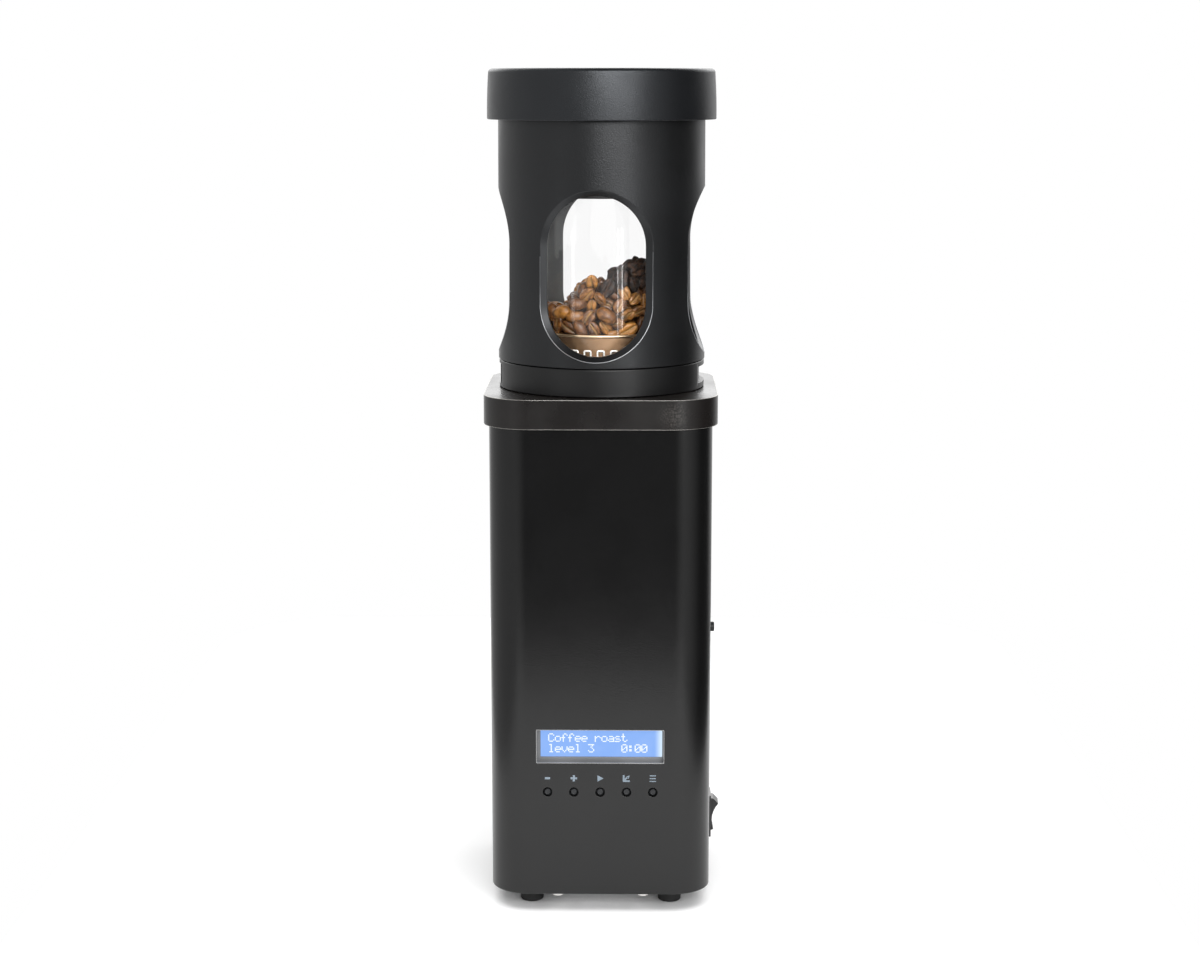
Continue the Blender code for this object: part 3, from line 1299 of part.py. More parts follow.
def build_distributor(shop):
    """Slotted plate that swirls the air under the beans."""
    radius = basket_radius() - BASKET_WALL - ROUND_GAP
    low, high = plate_bottom(), plate_bottom() + PLATE_THICKNESS
    plate = turned_piece(shop, "distributor_plate", disc_profile(radius, low, high), shop.chamber,
                         (STEEL, 0.4, 1.0), HIDDEN_STEPS, closed=False)
    bm = bmesh.new()
    half = PLATE_SLOT_WIDTH / 2
    for i in range(PLATE_SLOT_COUNT):
        add_box(bm, (PLATE_SLOT_INNER, -half, low - CUT_OVERRUN),
                (radius - PLATE_SLOT_MARGIN, half, high + CUT_OVERRUN), 2 * pi * i / PLATE_SLOT_COUNT)
    cut(plate, shop.tool("plate_slots", mesh_from("plate_slots", bm)))


def groove_radius():
    """Outer radius of the groove that holds the glass."""
    return GLASS_RADIUS + GROOVE_CLEARANCE


def build_collar(shop):
    """Ring that carries the basket, the glass and the sleeve."""
    bore = basket_radius() + ROUND_GAP
    spigot = SLEEVE_BORE_RADIUS - ROUND_GAP
    groove_top = glass_seat() + GROOVE_DEPTH
    points = [(spigot, COLLAR_TOP + SPIGOT_HEIGHT), (spigot, COLLAR_TOP), (COLLAR_RADIUS, COLLAR_TOP),
              (COLLAR_RADIUS, COLLAR_BOTTOM), (bore, COLLAR_BOTTOM), (bore, glass_seat()),
              (groove_radius(), glass_seat()), (groove_radius(), groove_top),
              (spigot - SPIGOT_WALL, groove_top), (spigot - SPIGOT_WALL, COLLAR_TOP + SPIGOT_HEIGHT)]
    collar = turned_piece(shop, "collar_ring", points, shop.chamber, (BLACK, 0.4, 0.0), ROUND_STEPS)
    flat = COLLAR_RADIUS - NOTCH_DEPTH
    low = COLLAR_BOTTOM + NOTCH_LIP
    notch = box("right_notch", (flat, -COLLAR_RADIUS, low), (COLLAR_RADIUS + CUT_OVERRUN, COLLAR_RADIUS,
                                                            low + NOTCH_HEIGHT))
    place_turned(cut, collar, shop.tool("right_notch", notch))
    flat = COLLAR_RADIUS - GRIP_DEPTH
    low = COLLAR_BOTTOM + GRIP_LIP
    grip = box("left_grip", (-COLLAR_RADIUS - CUT_OVERRUN, -COLLAR_RADIUS, low), (-flat, COLLAR_RADIUS,
                                                                                 low + GRIP_HEIGHT))
    place_turned(cut, collar, shop.tool("left_grip", grip))
    place_turned(fuse, collar, shop.tool("grip_ribs", grip_ribs_mesh(flat, low)))


def place_turned(action, piece, shape):
    """Turn a tool with the upper assembly, then use it."""
    shape.rotation_euler = (0, 0, ASSEMBLY_TURN)
    action(piece, shape)


def grip_ribs_mesh(flat, low):
    """Upright ribs on the flat of the left grip."""
    bm = bmesh.new()
    first = -GRIP_RIB_PITCH * (GRIP_RIB_COUNT - 1) / 2
    for i in range(GRIP_RIB_COUNT):
        y = first + GRIP_RIB_PITCH * i
        edge = abs(y) + GRIP_RIB_WIDTH / 2
        outer = sqrt((COLLAR_RADIUS - GRIP_RIB_SUNK) ** 2 - edge ** 2)
        add_box(bm, (-outer, y - GRIP_RIB_WIDTH / 2, low - FUSE_DEPTH),
                (-flat + FUSE_DEPTH, y + GRIP_RIB_WIDTH / 2, low + GRIP_HEIGHT + FUSE_DEPTH))
    return mesh_from("grip_ribs", bm)


def build_glass(shop):
    """Glass tube between its lower and upper seals."""
    seal_low = glass_seat() + FIT_GAP
    seal_inner = basket_radius() + BASKET_SHOULDER + ROUND_GAP
    seal = ring_profile(seal_inner, groove_radius() - ROUND_GAP, seal_low, seal_low + GLASS_SEAL_THICKNESS)
    turned_piece(shop, "lower_glass_seal", seal, shop.chamber, (SEAL_RED, 0.7, 0.0), HIDDEN_STEPS)
    low = seal_low + GLASS_SEAL_THICKNESS + FIT_GAP
    tube = ring_profile(GLASS_BORE_RADIUS, GLASS_RADIUS, low, glass_top())
    turned_piece(shop, "glass_tube", tube, shop.chamber, (GLASS, 0.02, 0.0), BASKET_STEPS)


# Sleeve with its windows, chimney and seal


def glass_top():
    """Height of the glass tube's upper end."""
    return SHELF_BOTTOM + CHIMNEY_POCKET_HEIGHT - FIT_GAP


def sleeve_radius_at(z):
    """Outer radius of the drafted sleeve at a height."""
    share = (z - SLEEVE_BOTTOM) / (SLEEVE_TOP - SLEEVE_BOTTOM)
    return SLEEVE_RADIUS - SLEEVE_DRAFT * share


def build_sleeve(shop):
    """Sleeve with four chamfered windows."""
    ledge = SHELF_BOTTOM - FIT_GAP
    bowl = SLEEVE_BORE_RADIUS + SLEEVE_LEDGE
    screen = SLEEVE_TOP - SCREEN_DROP
    points = [(SLEEVE_TOP_RADIUS, SLEEVE_TOP), (SLEEVE_RADIUS, SLEEVE_BOTTOM),
              (SLEEVE_BORE_RADIUS, SLEEVE_BOTTOM), (SLEEVE_BORE_RADIUS, ledge), (bowl, ledge),
              (bowl, screen),
              (bowl + SCREEN_LEDGE, screen), (bowl + SCREEN_LEDGE, SLEEVE_TOP)]
    sleeve = turned_piece(shop, "chaff_sleeve", points, shop.collector, (BLACK, 0.4, 0.0), ROUND_STEPS)
    mesh = window_cutter_mesh()
    for i in range(WINDOW_COUNT):
        window = shop.tool("window_%d" % (i + 1), mesh)
        window.rotation_euler = (0, 0, ASSEMBLY_TURN + 2 * pi * i / WINDOW_COUNT)
        cut(sleeve, window)


def stadium(half_width, end_rise, straight):
    """Outline with two arched ends, as (across, up) points about its centre."""
    points = []
    count = WINDOW_POINTS_PER_ARC
    for end in (1, -1):
        for i in range(count + 1):
            angle = pi * i / count
            points.append((end * half_width * cos(angle), end * (straight / 2 + end_rise * sin(angle))))
    return points


def window_cutter_mesh():
    """Loft through the sleeve: a straight mouth, a chamfer and a straight inner wall."""
    half = WINDOW_WIDTH / 2
    straight = WINDOW_HEIGHT - WINDOW_WIDTH
    centre = WINDOW_BOTTOM + WINDOW_HEIGHT / 2
    outer = stadium(half, half, straight)
    narrow = chamfered_half_width(half)
    inner = stadium(narrow, half - WINDOW_CHAMFER, straight)
    mouth = SLEEVE_RADIUS + CUT_OVERRUN
    back = SLEEVE_BORE_RADIUS * cos(asin(narrow / SLEEVE_BORE_RADIUS)) - CUT_OVERRUN
    bm = bmesh.new()
    rings = [[bm.verts.new((x, -mouth, centre + z)) for x, z in outer],
             [bm.verts.new(on_sleeve(x, centre + z, 0)) for x, z in outer],
             [bm.verts.new(on_sleeve(x, centre + z, WINDOW_CHAMFER)) for x, z in inner],
             [bm.verts.new((x, -back, centre + z)) for x, z in inner]]
    count = len(outer)
    for near, far in zip(rings, rings[1:]):
        for i in range(count):
            j = (i + 1) % count
            bm.faces.new((near[i], near[j], far[j], far[i]))
    bm.faces.new(rings[0])
    bm.faces.new(rings[-1])
    bmesh.ops.recalc_face_normals(bm, faces=bm.faces)
    return mesh_from("window", bm)


def chamfered_half_width(half):
    """Half width of the window inside its chamfer, which follows the curved wall."""
    side = asin(half / SLEEVE_RADIUS) - WINDOW_CHAMFER / SLEEVE_RADIUS
    return (SLEEVE_RADIUS - WINDOW_CHAMFER) * sin(side)


def on_sleeve(x, z, depth):
    """Point on the sleeve's surface, or that deep under it, at a place across and up."""
    radius = sleeve_radius_at(z) - depth
    return x, -sqrt(radius * radius - x * x), z


def build_chimney(shop):
    """Floor of the chaff bowl with a pocket for the glass and a chimney."""
    outer = SLEEVE_BORE_RADIUS + SLEEVE_LEDGE - ROUND_GAP
    pocket = GLASS_RADIUS + GLASS_TOP_SEAL + 2 * ROUND_GAP
    pocket_wall = pocket + CHIMNEY_WALL
    bore = GLASS_BORE_RADIUS - CHIMNEY_BORE_SETBACK
    floor_top = SHELF_BOTTOM + CHIMNEY_FLOOR
    pocket_top = SHELF_BOTTOM + CHIMNEY_POCKET_HEIGHT
    shoulder = pocket_top + CHIMNEY_WALL
    top = SHELF_BOTTOM + CHIMNEY_HEIGHT
    points = [(bore + CHIMNEY_WALL, top), (bore + CHIMNEY_WALL, shoulder), (pocket_wall, shoulder),
              (pocket_wall, floor_top), (outer, floor_top), (outer, SHELF_BOTTOM), (pocket, SHELF_BOTTOM),
              (pocket, pocket_top), (bore, pocket_top), (bore, top)]
    turned_piece(shop, "chimney_ring", points, shop.collector, (BLACK, 0.5, 0.0), HIDDEN_STEPS)
    seal = ring_profile(GLASS_RADIUS + ROUND_GAP, pocket - ROUND_GAP, SHELF_BOTTOM + FIT_GAP,
                        pocket_top - FIT_GAP)
    turned_piece(shop, "upper_glass_seal", seal, shop.collector, (SEAL_RED, 0.7, 0.0), HIDDEN_STEPS)


# Lid and chaff screen


def screen_radius():
    """Outer radius of the chaff screen."""
    return SLEEVE_BORE_RADIUS + SLEEVE_LEDGE + SCREEN_LEDGE - ROUND_GAP


def screen_bottom():
    """Height of the screen's underside on its ledge."""
    return SLEEVE_TOP - SCREEN_DROP + FIT_GAP


def build_screen(shop):
    """Screen with three rings of slots."""
    radius = screen_radius()
    low, high = screen_bottom(), screen_bottom() + SCREEN_THICKNESS
    screen = turned_piece(shop, "chaff_screen", disc_profile(radius, low, high), shop.collector,
                          (STEEL, 0.4, 1.0), HIDDEN_STEPS, closed=False)
    bm = bmesh.new()
    half_length, half_width = SCREEN_SLOT_LENGTH / 2, SCREEN_SLOT_WIDTH / 2
    for share, count in zip(SCREEN_RING_SHARES, SCREEN_SLOTS_PER_RING):
        middle = radius * share - half_length
        for i in range(count):
            add_box(bm, (middle - half_length, -half_width, low - CUT_OVERRUN),
                    (middle + half_length, half_width, high + CUT_OVERRUN), 2 * pi * i / count)
    cut(screen, shop.tool("screen_slots", mesh_from("screen_slots", bm)))


def build_lid(shop):
    """Drafted lid with ribs that stand on the sleeve's top edge."""
    top_radius = LID_RADIUS - LID_DRAFT
    inner_top = LID_TOP - LID_TOP_THICKNESS
    inner = LID_RADIUS - LID_WALL
    round_in = LID_EDGE_ROUND * (1 - cos(pi / 4))
    points = [(0, LID_TOP), (top_radius - LID_EDGE_ROUND, LID_TOP),
              (top_radius - round_in, LID_TOP - round_in), (top_radius, LID_TOP - LID_EDGE_ROUND),
              (LID_RADIUS, LID_BOTTOM + LID_FOOT_CHAMFER), (LID_RADIUS - LID_FOOT_CHAMFER, LID_BOTTOM),
              (inner, LID_BOTTOM), (inner - LID_DRAFT, inner_top), (0, inner_top)]
    lid = turned_piece(shop, "lid_shell", points, shop.lid, (BLACK, 0.45, 0.0), ROUND_STEPS, closed=False)
    bm = bmesh.new()
    spigot = screen_radius() - FIT_GAP
    for i in range(LID_RIB_COUNT):
        angle = 2 * pi * i / LID_RIB_COUNT
        half = LID_RIB_WIDTH / 2
        add_box(bm, (spigot - LID_RIB_INSET, -half, SLEEVE_TOP + FIT_GAP),
                (inner - LID_DRAFT + LID_WALL / 2, half, inner_top + FUSE_DEPTH), angle)
    fuse(lid, shop.tool("lid_ribs", mesh_from("lid_ribs", bm)))
    tabs = bmesh.new()
    for i in range(LID_RIB_COUNT):
        angle = 2 * pi * i / LID_RIB_COUNT
        add_box(tabs, (spigot - LID_RIB_INSET + FUSE_DEPTH, -half + FUSE_DEPTH / 2, screen_top() + FIT_GAP),
                (spigot, half - FUSE_DEPTH / 2, SLEEVE_TOP + FIT_GAP + FUSE_DEPTH), angle)
    fuse(lid, shop.tool("lid_tabs", mesh_from("lid_tabs", tabs)))


def screen_top():
    """Height of the screen's upper face."""
    return screen_bottom() + SCREEN_THICKNESS


# Beans


def heap_height(x, y):
    """Height of the bean heap over the basket's rim at a place in the glass."""
    reach = GLASS_BORE_RADIUS
    return HEAP_HEIGHT / 2 + HEAP_SLOPE * (x / reach) + HEAP_SLOPE / 4 * (y / reach)


def bean_places():
    """Places of the beans on the heap, spread by the golden angle."""
    places = []
    reach = GLASS_BORE_RADIUS - BEAN_LENGTH / 2 - FIT_GAP
    for i in range(BEAN_COUNT):
        radius = reach * sqrt((i + 0.5) / BEAN_COUNT)
        angle = BEAN_TURN_STEP * i
        places.append((radius * cos(angle), radius * sin(angle), angle))
    return places


def build_beans(shop):
    """Charge of beans as one fused heap in the basket and the glass."""
    low = plate_bottom() + PLATE_THICKNESS + FIT_GAP
    radius = basket_radius() - BASKET_WALL - ROUND_GAP
    rim = basket_rim() - BASKET_RIM_HEIGHT
    points = disc_profile(radius, low, rim)
    beans = turned_piece(shop, "coffee_beans", points, shop.chamber, (BEAN_BROWN, 0.5, 0.0), HIDDEN_STEPS,
                         closed=False)
    core = bmesh.new()
    top_ring = []
    upper = GLASS_BORE_RADIUS - BEAN_LENGTH / 2
    for i in range(HEAP_STEPS):
        angle = 2 * pi * i / HEAP_STEPS
        x, y = upper * cos(angle), upper * sin(angle)
        top_ring.append(core.verts.new((x, y, rim + heap_height(x, y))))
    low_ring = [core.verts.new((v.co.x, v.co.y, rim - BEAN_WIDTH)) for v in top_ring]
    core.faces.new(top_ring)
    core.faces.new(low_ring[::-1])
    for i in range(HEAP_STEPS):
        j = (i + 1) % HEAP_STEPS
        core.faces.new((low_ring[i], low_ring[j], top_ring[j], top_ring[i]))
    bmesh.ops.recalc_face_normals(core, faces=core.faces)
    fuse(beans, shop.tool("heap_core", mesh_from("heap_core", core)))
    fuse_beans(shop, beans, rim)


def fuse_beans(shop, beans, rim):
    """Join the single beans to the heap."""
    for i, (x, y, angle) in enumerate(bean_places()):
        bm = bmesh.new()
        place = (Matrix.Translation((x, y, rim + heap_height(x, y))) @ Matrix.Rotation(angle * 2, 4, "Z")
                 @ Matrix.Rotation(angle, 4, "Y")
                 @ Matrix.Diagonal((BEAN_LENGTH / 2, BEAN_WIDTH / 2, BEAN_WIDTH / 2, 1)))
        bmesh.ops.create_uvsphere(bm, u_segments=6, v_segments=5, radius=1, matrix=place)
        fuse(beans, shop.tool("bean_%02d" % i, mesh_from("bean", bm)))


def main():
    """Build the roaster from the base up."""
    clear_scene()
    shop = Shop()
    build_housing(shop)
    build_cap(shop)
    build_base(shop)
    build_feet(shop)
    build_base_screws(shop)
    build_side_screws(shop)
    build_display(shop)
    build_carrier(shop)
    build_control_board(shop)
    build_buttons(shop)
    build_switch(shop)
    build_inlet(shop)
    build_power_board(shop)
    build_stand(shop)
    build_motor(shop)
    build_fan(shop)
    build_blower_housing(shop)
    build_heater_tube(shop)
    build_heater_former(shop)
    build_heater_coil(shop)
    build_probe(shop)
    build_thermal_cutout(shop)
    build_seat(shop)
    build_collar(shop)
    build_basket(shop)
    build_distributor(shop)
    build_glass(shop)
    build_beans(shop)
    build_sleeve(shop)
    build_chimney(shop)
    build_screen(shop)
    build_lid(shop)


main()
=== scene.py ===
"""Home coffee bean roaster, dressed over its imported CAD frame.

Every length is in metres in the CAD frame: X to the right, Y to the back, Z up from the table.
Each sub-assembly is a class with its sizes as fields, whose methods make its pieces and dress them.
Corners of an outline are given as place and rounding radius, and a span as its ends on both axes.
"""
import logging
import math
import random
from dataclasses import dataclass, field
from enum import Enum
from typing import Sequence

import bmesh
import bpy
import numpy as np
from mathutils import Matrix, Vector, noise


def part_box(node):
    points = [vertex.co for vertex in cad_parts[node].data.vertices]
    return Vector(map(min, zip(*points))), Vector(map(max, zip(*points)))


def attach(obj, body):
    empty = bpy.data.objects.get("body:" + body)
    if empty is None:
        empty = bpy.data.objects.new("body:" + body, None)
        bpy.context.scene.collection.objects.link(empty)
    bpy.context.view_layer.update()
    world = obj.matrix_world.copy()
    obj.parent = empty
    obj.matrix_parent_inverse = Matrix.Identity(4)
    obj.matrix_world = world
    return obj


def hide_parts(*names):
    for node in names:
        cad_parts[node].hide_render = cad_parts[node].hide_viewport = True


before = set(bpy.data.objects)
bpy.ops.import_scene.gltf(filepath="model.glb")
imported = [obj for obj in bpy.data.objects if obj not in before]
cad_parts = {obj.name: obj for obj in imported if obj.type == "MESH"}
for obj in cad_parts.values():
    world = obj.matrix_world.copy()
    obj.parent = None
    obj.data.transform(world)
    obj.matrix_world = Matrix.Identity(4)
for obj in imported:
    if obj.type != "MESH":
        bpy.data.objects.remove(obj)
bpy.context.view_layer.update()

LOG = logging.getLogger("roaster")
MM = 0.001
# Where turned profiles stop short of the axis
AXIS = 0.1 * MM
# Points round large, thin and small turned pieces and round a wire, and segments of an eased corner
ROUND, RING_ROUND, SMALL_ROUND, WIRE_ROUND, EASE_STEPS = 180, 144, 48, 8, 3
# Turn of the sleeve and the collar about Z, and the turn that stands an outline up in the front wall
UPPER_TURN = math.radians(-2.6)
UPRIGHT = Matrix.Rotation(math.pi / 2, 4, "X")
# Tones of rubbed paint, which also stands in as a painted highlight on edges, of dust and a smear on the
# paint, and of the pale painted reflection in the sleeve's bore
RUB_HIGHLIGHT_GAIN, RUB_HIGHLIGHT_LIFT, SECOND_GAIN = 1.3, 0.10, 0.8
DUST_TONE, SMEAR_TONE, BORE_REFLECTION_TONE = (0.42, 0.40, 0.37), (0.42, 0.39, 0.36), (0.115, 0.115, 0.112)

Point = tuple[float, float]
Corner = tuple[float, float, float]
Colour = tuple[float, float, float]
Span = tuple[float, float, float, float]
Socket = bpy.types.NodeSocket


# Outlines


def rounded(corners: Sequence[Corner], steps: int = 5, closed: bool = True) -> list[Point]:
    """Outline whose corners are rounded by their own radii.

    Args:
        corners: Place and rounding radius of each corner.
        steps: Segments in each arc.
        closed: Whether the last corner joins the first.

    Returns:
        Points of the outline, in order.
    """
    points: list[Point] = []
    count = len(corners)
    for i, (x, y, radius) in enumerate(corners):
        if radius <= 0 or (not closed and i in (0, count - 1)):
            points.append((x, y))
            continue
        here = Vector((x, y))
        before = (Vector(corners[i - 1][:2]) - here).normalized()
        after = (Vector(corners[(i + 1) % count][:2]) - here).normalized()
        half = before.angle(after) / 2
        centre = here + (before + after).normalized() * (radius / math.sin(half))
        start = here + before * (radius / math.tan(half)) - centre
        end = here + after * (radius / math.tan(half)) - centre
        sweep = start.angle(end)
        for k in range(steps + 1):
            share = k / steps
            spoke = (start * math.sin((1 - share) * sweep) + end * math.sin(share * sweep)) / math.sin(sweep)
            points.append(tuple(centre + spoke))
    return points


def rect(left: float, right: float, low: float, high: float, *radius: float) -> list[tuple[float, ...]]:
    """Corners of a rectangle from its lower left, each with the rounding radius if one is given."""
    return [(x, y, *radius) for x, y in ((left, low), (right, low), (right, high), (left, high))]


def ring_profile(span: Span, outside: float, inside: float, steps: int = 4) -> list[Point]:
    """Profile of a ring, its outer edges rounded by one radius and its inner edges by another."""
    inner, outer, low, high = span
    return rounded([(outer, low, outside), (outer, high, outside), (inner, high, inside),
                    (inner, low, inside)], steps)


def square_loop(half: float, corner: float, z: float, steps: int = 16) -> list[Vector]:
    """Rounded square at a height, from half its width and its corner radius."""
    corners = [(half, -half, corner), (half, half, corner), (-half, half, corner), (-half, -half, corner)]
    return [Vector((x, y, z)) for x, y in rounded(corners, steps)]


def angles(count: int) -> list[float]:
    """Evenly spaced angles round a circle."""
    return [2 * math.pi * i / count for i in range(count)]


def turns(count: int, start: float = 0.0) -> list[Matrix]:
    """Evenly spaced turns about the Z axis."""
    return [Matrix.Rotation(angle + start, 4, "Z") for angle in angles(count)]


def circle_loop(radius: float, z: float, steps: int) -> list[Vector]:
    """Circle about the Z axis at a height."""
    return [Vector((radius * math.cos(a), radius * math.sin(a), z)) for a in angles(steps)]


def wire_loop(centre: Vector, side: Vector, up: Vector, radius: float) -> list[Vector]:
    """Points round the centre of a wire, in the plane of two directions."""
    return [centre + (side * math.cos(a) + up * math.sin(a)) * radius for a in angles(WIRE_ROUND)]


def ease(start: Vector, corner: Vector, end: Vector) -> list[Vector]:
    """Points of the small round that replaces a corner between two points."""
    shares = [k / EASE_STEPS for k in range(EASE_STEPS + 1)]
    return [start * (1 - s) ** 2 + corner * (2 * s * (1 - s)) + end * s ** 2 for s in shares]


class Carve(Enum):
    """What a tool does to the stock that it meets."""

    CUT = "DIFFERENCE"
    JOIN = "UNION"


class Stock:
    """Mesh of one piece while it is being made. Its methods return it, so that calls can be chained."""

    def __init__(self) -> None:
        """Start empty."""
        self.bm = bmesh.new()
        self.layers: dict[str, list[float]] = {}

    def loft(self, loops: Sequence[Sequence[Vector]], ring: bool = False) -> "Stock":
        """Skin closed loops of equal length.

        Args:
            loops: Points of each loop.
            ring: Whether the last loop joins the first; otherwise both ends are filled.

        Returns:
            This stock.
        """
        rows = [[self.bm.verts.new(p) for p in loop] for loop in loops]
        for low, high in list(zip(rows, rows[1:])) + ([(rows[-1], rows[0])] if ring else []):
            for i in range(len(low)):
                j = (i + 1) % len(low)
                self.bm.faces.new((low[i], low[j], high[j], high[i]))
        if not ring:
            self.bm.faces.new(rows[0][::-1])
            self.bm.faces.new(rows[-1])
        return self

    def turn(self, profile: Sequence[Point], steps: int = ROUND, ring: bool = True) -> "Stock":
        """Turn a profile of radius and height about the Z axis."""
        return self.loft([circle_loop(r, z, steps) for r, z in profile], ring)

    def prism(self, outline: Sequence[Point], low: float, high: float, place: Matrix = Matrix()) -> "Stock":
        """Add an outline raised between two heights, moved by a matrix."""
        return self.loft([[place @ Vector((x, y, z)) for x, y in outline] for z in (low, high)])

    def block(self, low: Corner, high: Corner, place: Matrix = Matrix()) -> "Stock":
        """Add a box between two corners, moved by a matrix."""
        return self.prism(rect(low[0], high[0], low[1], high[1]), low[2], high[2], place)

    def tube(self, path: Sequence[Vector], radius: float, closed: bool = False) -> "Stock":
        """Sweep a round wire along a path.

        Args:
            path: Points of the wire's centre.
            radius: Radius of the wire.
            closed: Whether the wire runs back to its start.

        Returns:
            This stock.
        """
        loops, count = [], len(path)
        for i, here in enumerate(path):
            before = path[i - 1] if i or closed else here
            after = path[(i + 1) % count] if i < count - 1 or closed else here
            along = (after - before).normalized()
            out = Vector((here.x, here.y, 0)).normalized() if here.xy.length > MM else Vector((0, -1, 0))
            side = along.cross(out).normalized()
            loops.append(wire_loop(here, side, side.cross(along), radius))
        return self.loft(loops, closed)

    def move(self, place: Matrix) -> "Stock":
        """Move all that has been made so far."""
        self.bm.transform(place)
        return self

    def settle(self, name: str) -> bpy.types.Object:
        """Put the mesh on a new scene object.

        Args:
            name: Name of the object.

        Returns:
            The object.
        """
        bmesh.ops.recalc_face_normals(self.bm, faces=self.bm.faces)
        mesh = bpy.data.meshes.new(name)
        self.bm.to_mesh(mesh)
        made = bpy.data.objects.new(name, mesh)
        bpy.context.scene.collection.objects.link(made)
        return made

    def carve(self, tool: "Stock", action: Carve = Carve.CUT) -> "Stock":
        """Cut a tool out of the stock, or join it on.

        Args:
            tool: The other stock, which is used up.
            action: Cut or join.

        Returns:
            This stock.
        """
        body, cutter = self.settle("carved"), tool.settle("tool")
        step = body.modifiers.new("carve", "BOOLEAN")
        step.operation, step.solver, step.object = action.value, "EXACT", cutter
        graph = bpy.context.evaluated_depsgraph_get()
        done = bpy.data.meshes.new_from_object(body.evaluated_get(graph))
        self.bm.free()
        tool.bm.free()
        self.bm = bmesh.new()
        self.bm.from_mesh(done)
        meshes = [body.data, cutter.data, done]
        for spent in (body, cutter):
            bpy.data.objects.remove(spent)
        for mesh in meshes:
            bpy.data.meshes.remove(mesh)
        return self

    def piece(self, name: str, body: str, finish: "Finish", stands_for: Sequence[str] = (),
              slot: str = "", edge: float = 0.0, sharp: float = 40.0) -> None:
        """Finish the stock as a piece of the roaster, which uses it up.

        Args:
            name: Name of the piece.
            body: CAD body that it rides on.
            finish: Finish of its surface.
            stands_for: CAD nodes that it replaces.
            slot: Material slot of the record; not used.
            edge: Width of the small round on its sharp edges.
            sharp: Least angle of an edge that stays sharp, in degrees.
        """
        made = self.settle(name)
        mesh = made.data
        for key, values in self.layers.items():
            mesh.attributes.new(key, "FLOAT", "POINT").data.foreach_set("value", values)
        mesh.shade_smooth()
        if edge:
            bevel = made.modifiers.new("edge", "BEVEL")
            bevel.width, bevel.segments, bevel.limit_method = edge, 2, "ANGLE"
            bevel.angle_limit = math.radians(sharp)
        else:
            mesh.set_sharp_from_angle(angle=math.radians(sharp))
        made.modifiers.new("normals", "WEIGHTED_NORMAL").keep_sharp = True
        mesh.materials.append(finish.material())
        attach(made, body)
        if stands_for:
            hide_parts(*stands_for)
        LOG.info("%s: %d faces on %s", name, len(mesh.polygons), body)
        self.bm.free()


def soften(node: str, name: str, finish: "Finish", edge: float = 0.0, body: str = "base",
           sharp: float = 40.0) -> None:
    """Make a piece that keeps a CAD node's shape, welded and with small rounds on its edges.

    Args:
        node: CAD node that it copies and replaces.
        name: Name of the piece.
        finish: Finish of its surface.
        edge: Width of the small round.
        body: CAD body that it rides on.
        sharp: Least angle of an edge that stays sharp, in degrees.
    """
    stock = Stock()
    stock.bm.from_mesh(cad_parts[node].data)
    points = stock.bm.verts
    bmesh.ops.remove_doubles(stock.bm, verts=points, dist=MM / 1000)
    bmesh.ops.dissolve_limit(stock.bm, angle_limit=math.radians(1), verts=points, edges=stock.bm.edges)
    stock.piece(name, body, finish, [node], edge=edge, sharp=sharp)


# Shader node groups


class Graph:
    """Node tree with short calls for making nodes and links."""

    def __init__(self, tree: bpy.types.NodeTree) -> None:
        """Start from an empty tree."""
        self.tree = tree
        tree.nodes.clear()

    def add(self, kind: str, ins: dict | None = None, **options: object) -> bpy.types.Node:
        """Make a node.

        Args:
            kind: Node type without its ShaderNode prefix.
            ins: Socket values, or output sockets to link to them.
            options: Properties of the node.

        Returns:
            The node.
        """
        node = self.tree.nodes.new(kind if kind.startswith("Node") else "ShaderNode" + kind)
        for key, value in options.items():
            setattr(node, key, value)
        for key, value in (ins or {}).items():
            if isinstance(value, Socket):
                self.tree.links.new(value, node.inputs[key])
            else:
                node.inputs[key].default_value = value
        return node

    def calc(self, operation: str, *values: object) -> Socket:
        """Result of a Math node over sockets or numbers."""
        return self.add("Math", dict(enumerate(values)), operation=operation).outputs[0]

    def times(self, first: object, second: object) -> Socket:
        """Product of two sockets or numbers."""
        return self.calc("MULTIPLY", first, second)

    def blend(self, share: object, first: object, second: object) -> Socket:
        """Mix of two colours by a share."""
        pair = [(*c, 1.0) if isinstance(c, tuple) else c for c in (first, second)]
        return self.add("Mix", {0: share, 6: pair[0], 7: pair[1]}, data_type="RGBA").outputs[2]

    def remap(self, value: object, old: Point, new: Point = (0.0, 1.0)) -> Socket:
        """Value mapped smoothly from one range to another, and held at its ends."""
        return self.add("MapRange", {0: value, 1: old[0], 2: old[1], 3: new[0], 4: new[1]},
                        interpolation_type="SMOOTHSTEP").outputs[0]

    def place(self) -> Socket:
        """Coordinates of the object itself."""
        return self.add("TexCoord").outputs["Object"]

    def noise(self, scale: object, detail: float, where: Socket | None = None) -> Socket:
        """Noise over the object's own coordinates, or over another place."""
        ins = {"Vector": where or self.place(), "Scale": scale, "Detail": detail}
        return self.add("TexNoise", ins).outputs[0]

    def part(self, vector: Socket, axis: int) -> Socket:
        """One coordinate of a vector."""
        return self.add("SeparateXYZ", {0: vector}).outputs[axis]

    def reach(self) -> Socket:
        """Distance from the Z axis."""
        flat = self.add("VectorMath", {0: self.place(), 1: (1.0, 1.0, 0.0)}, operation="MULTIPLY").outputs[0]
        return self.add("VectorMath", {0: flat}, operation="LENGTH").outputs["Value"]

    def bump(self, height: Socket, distance: float) -> Socket:
        """Normal of a surface that is raised by a height."""
        return self.add("Bump", {"Height": height, "Strength": 1.0, "Distance": distance}).outputs[0]

    def surface(self, ins: dict) -> None:
        """Feed the material's output with a principled surface."""
        self.add("OutputMaterial", {"Surface": self.add("BsdfPrincipled", ins).outputs[0]})

    def close(self, ins: dict) -> bpy.types.NodeTree:
        """Feed the outputs of a group and return its tree."""
        self.add("NodeGroupOutput", ins)
        return self.tree


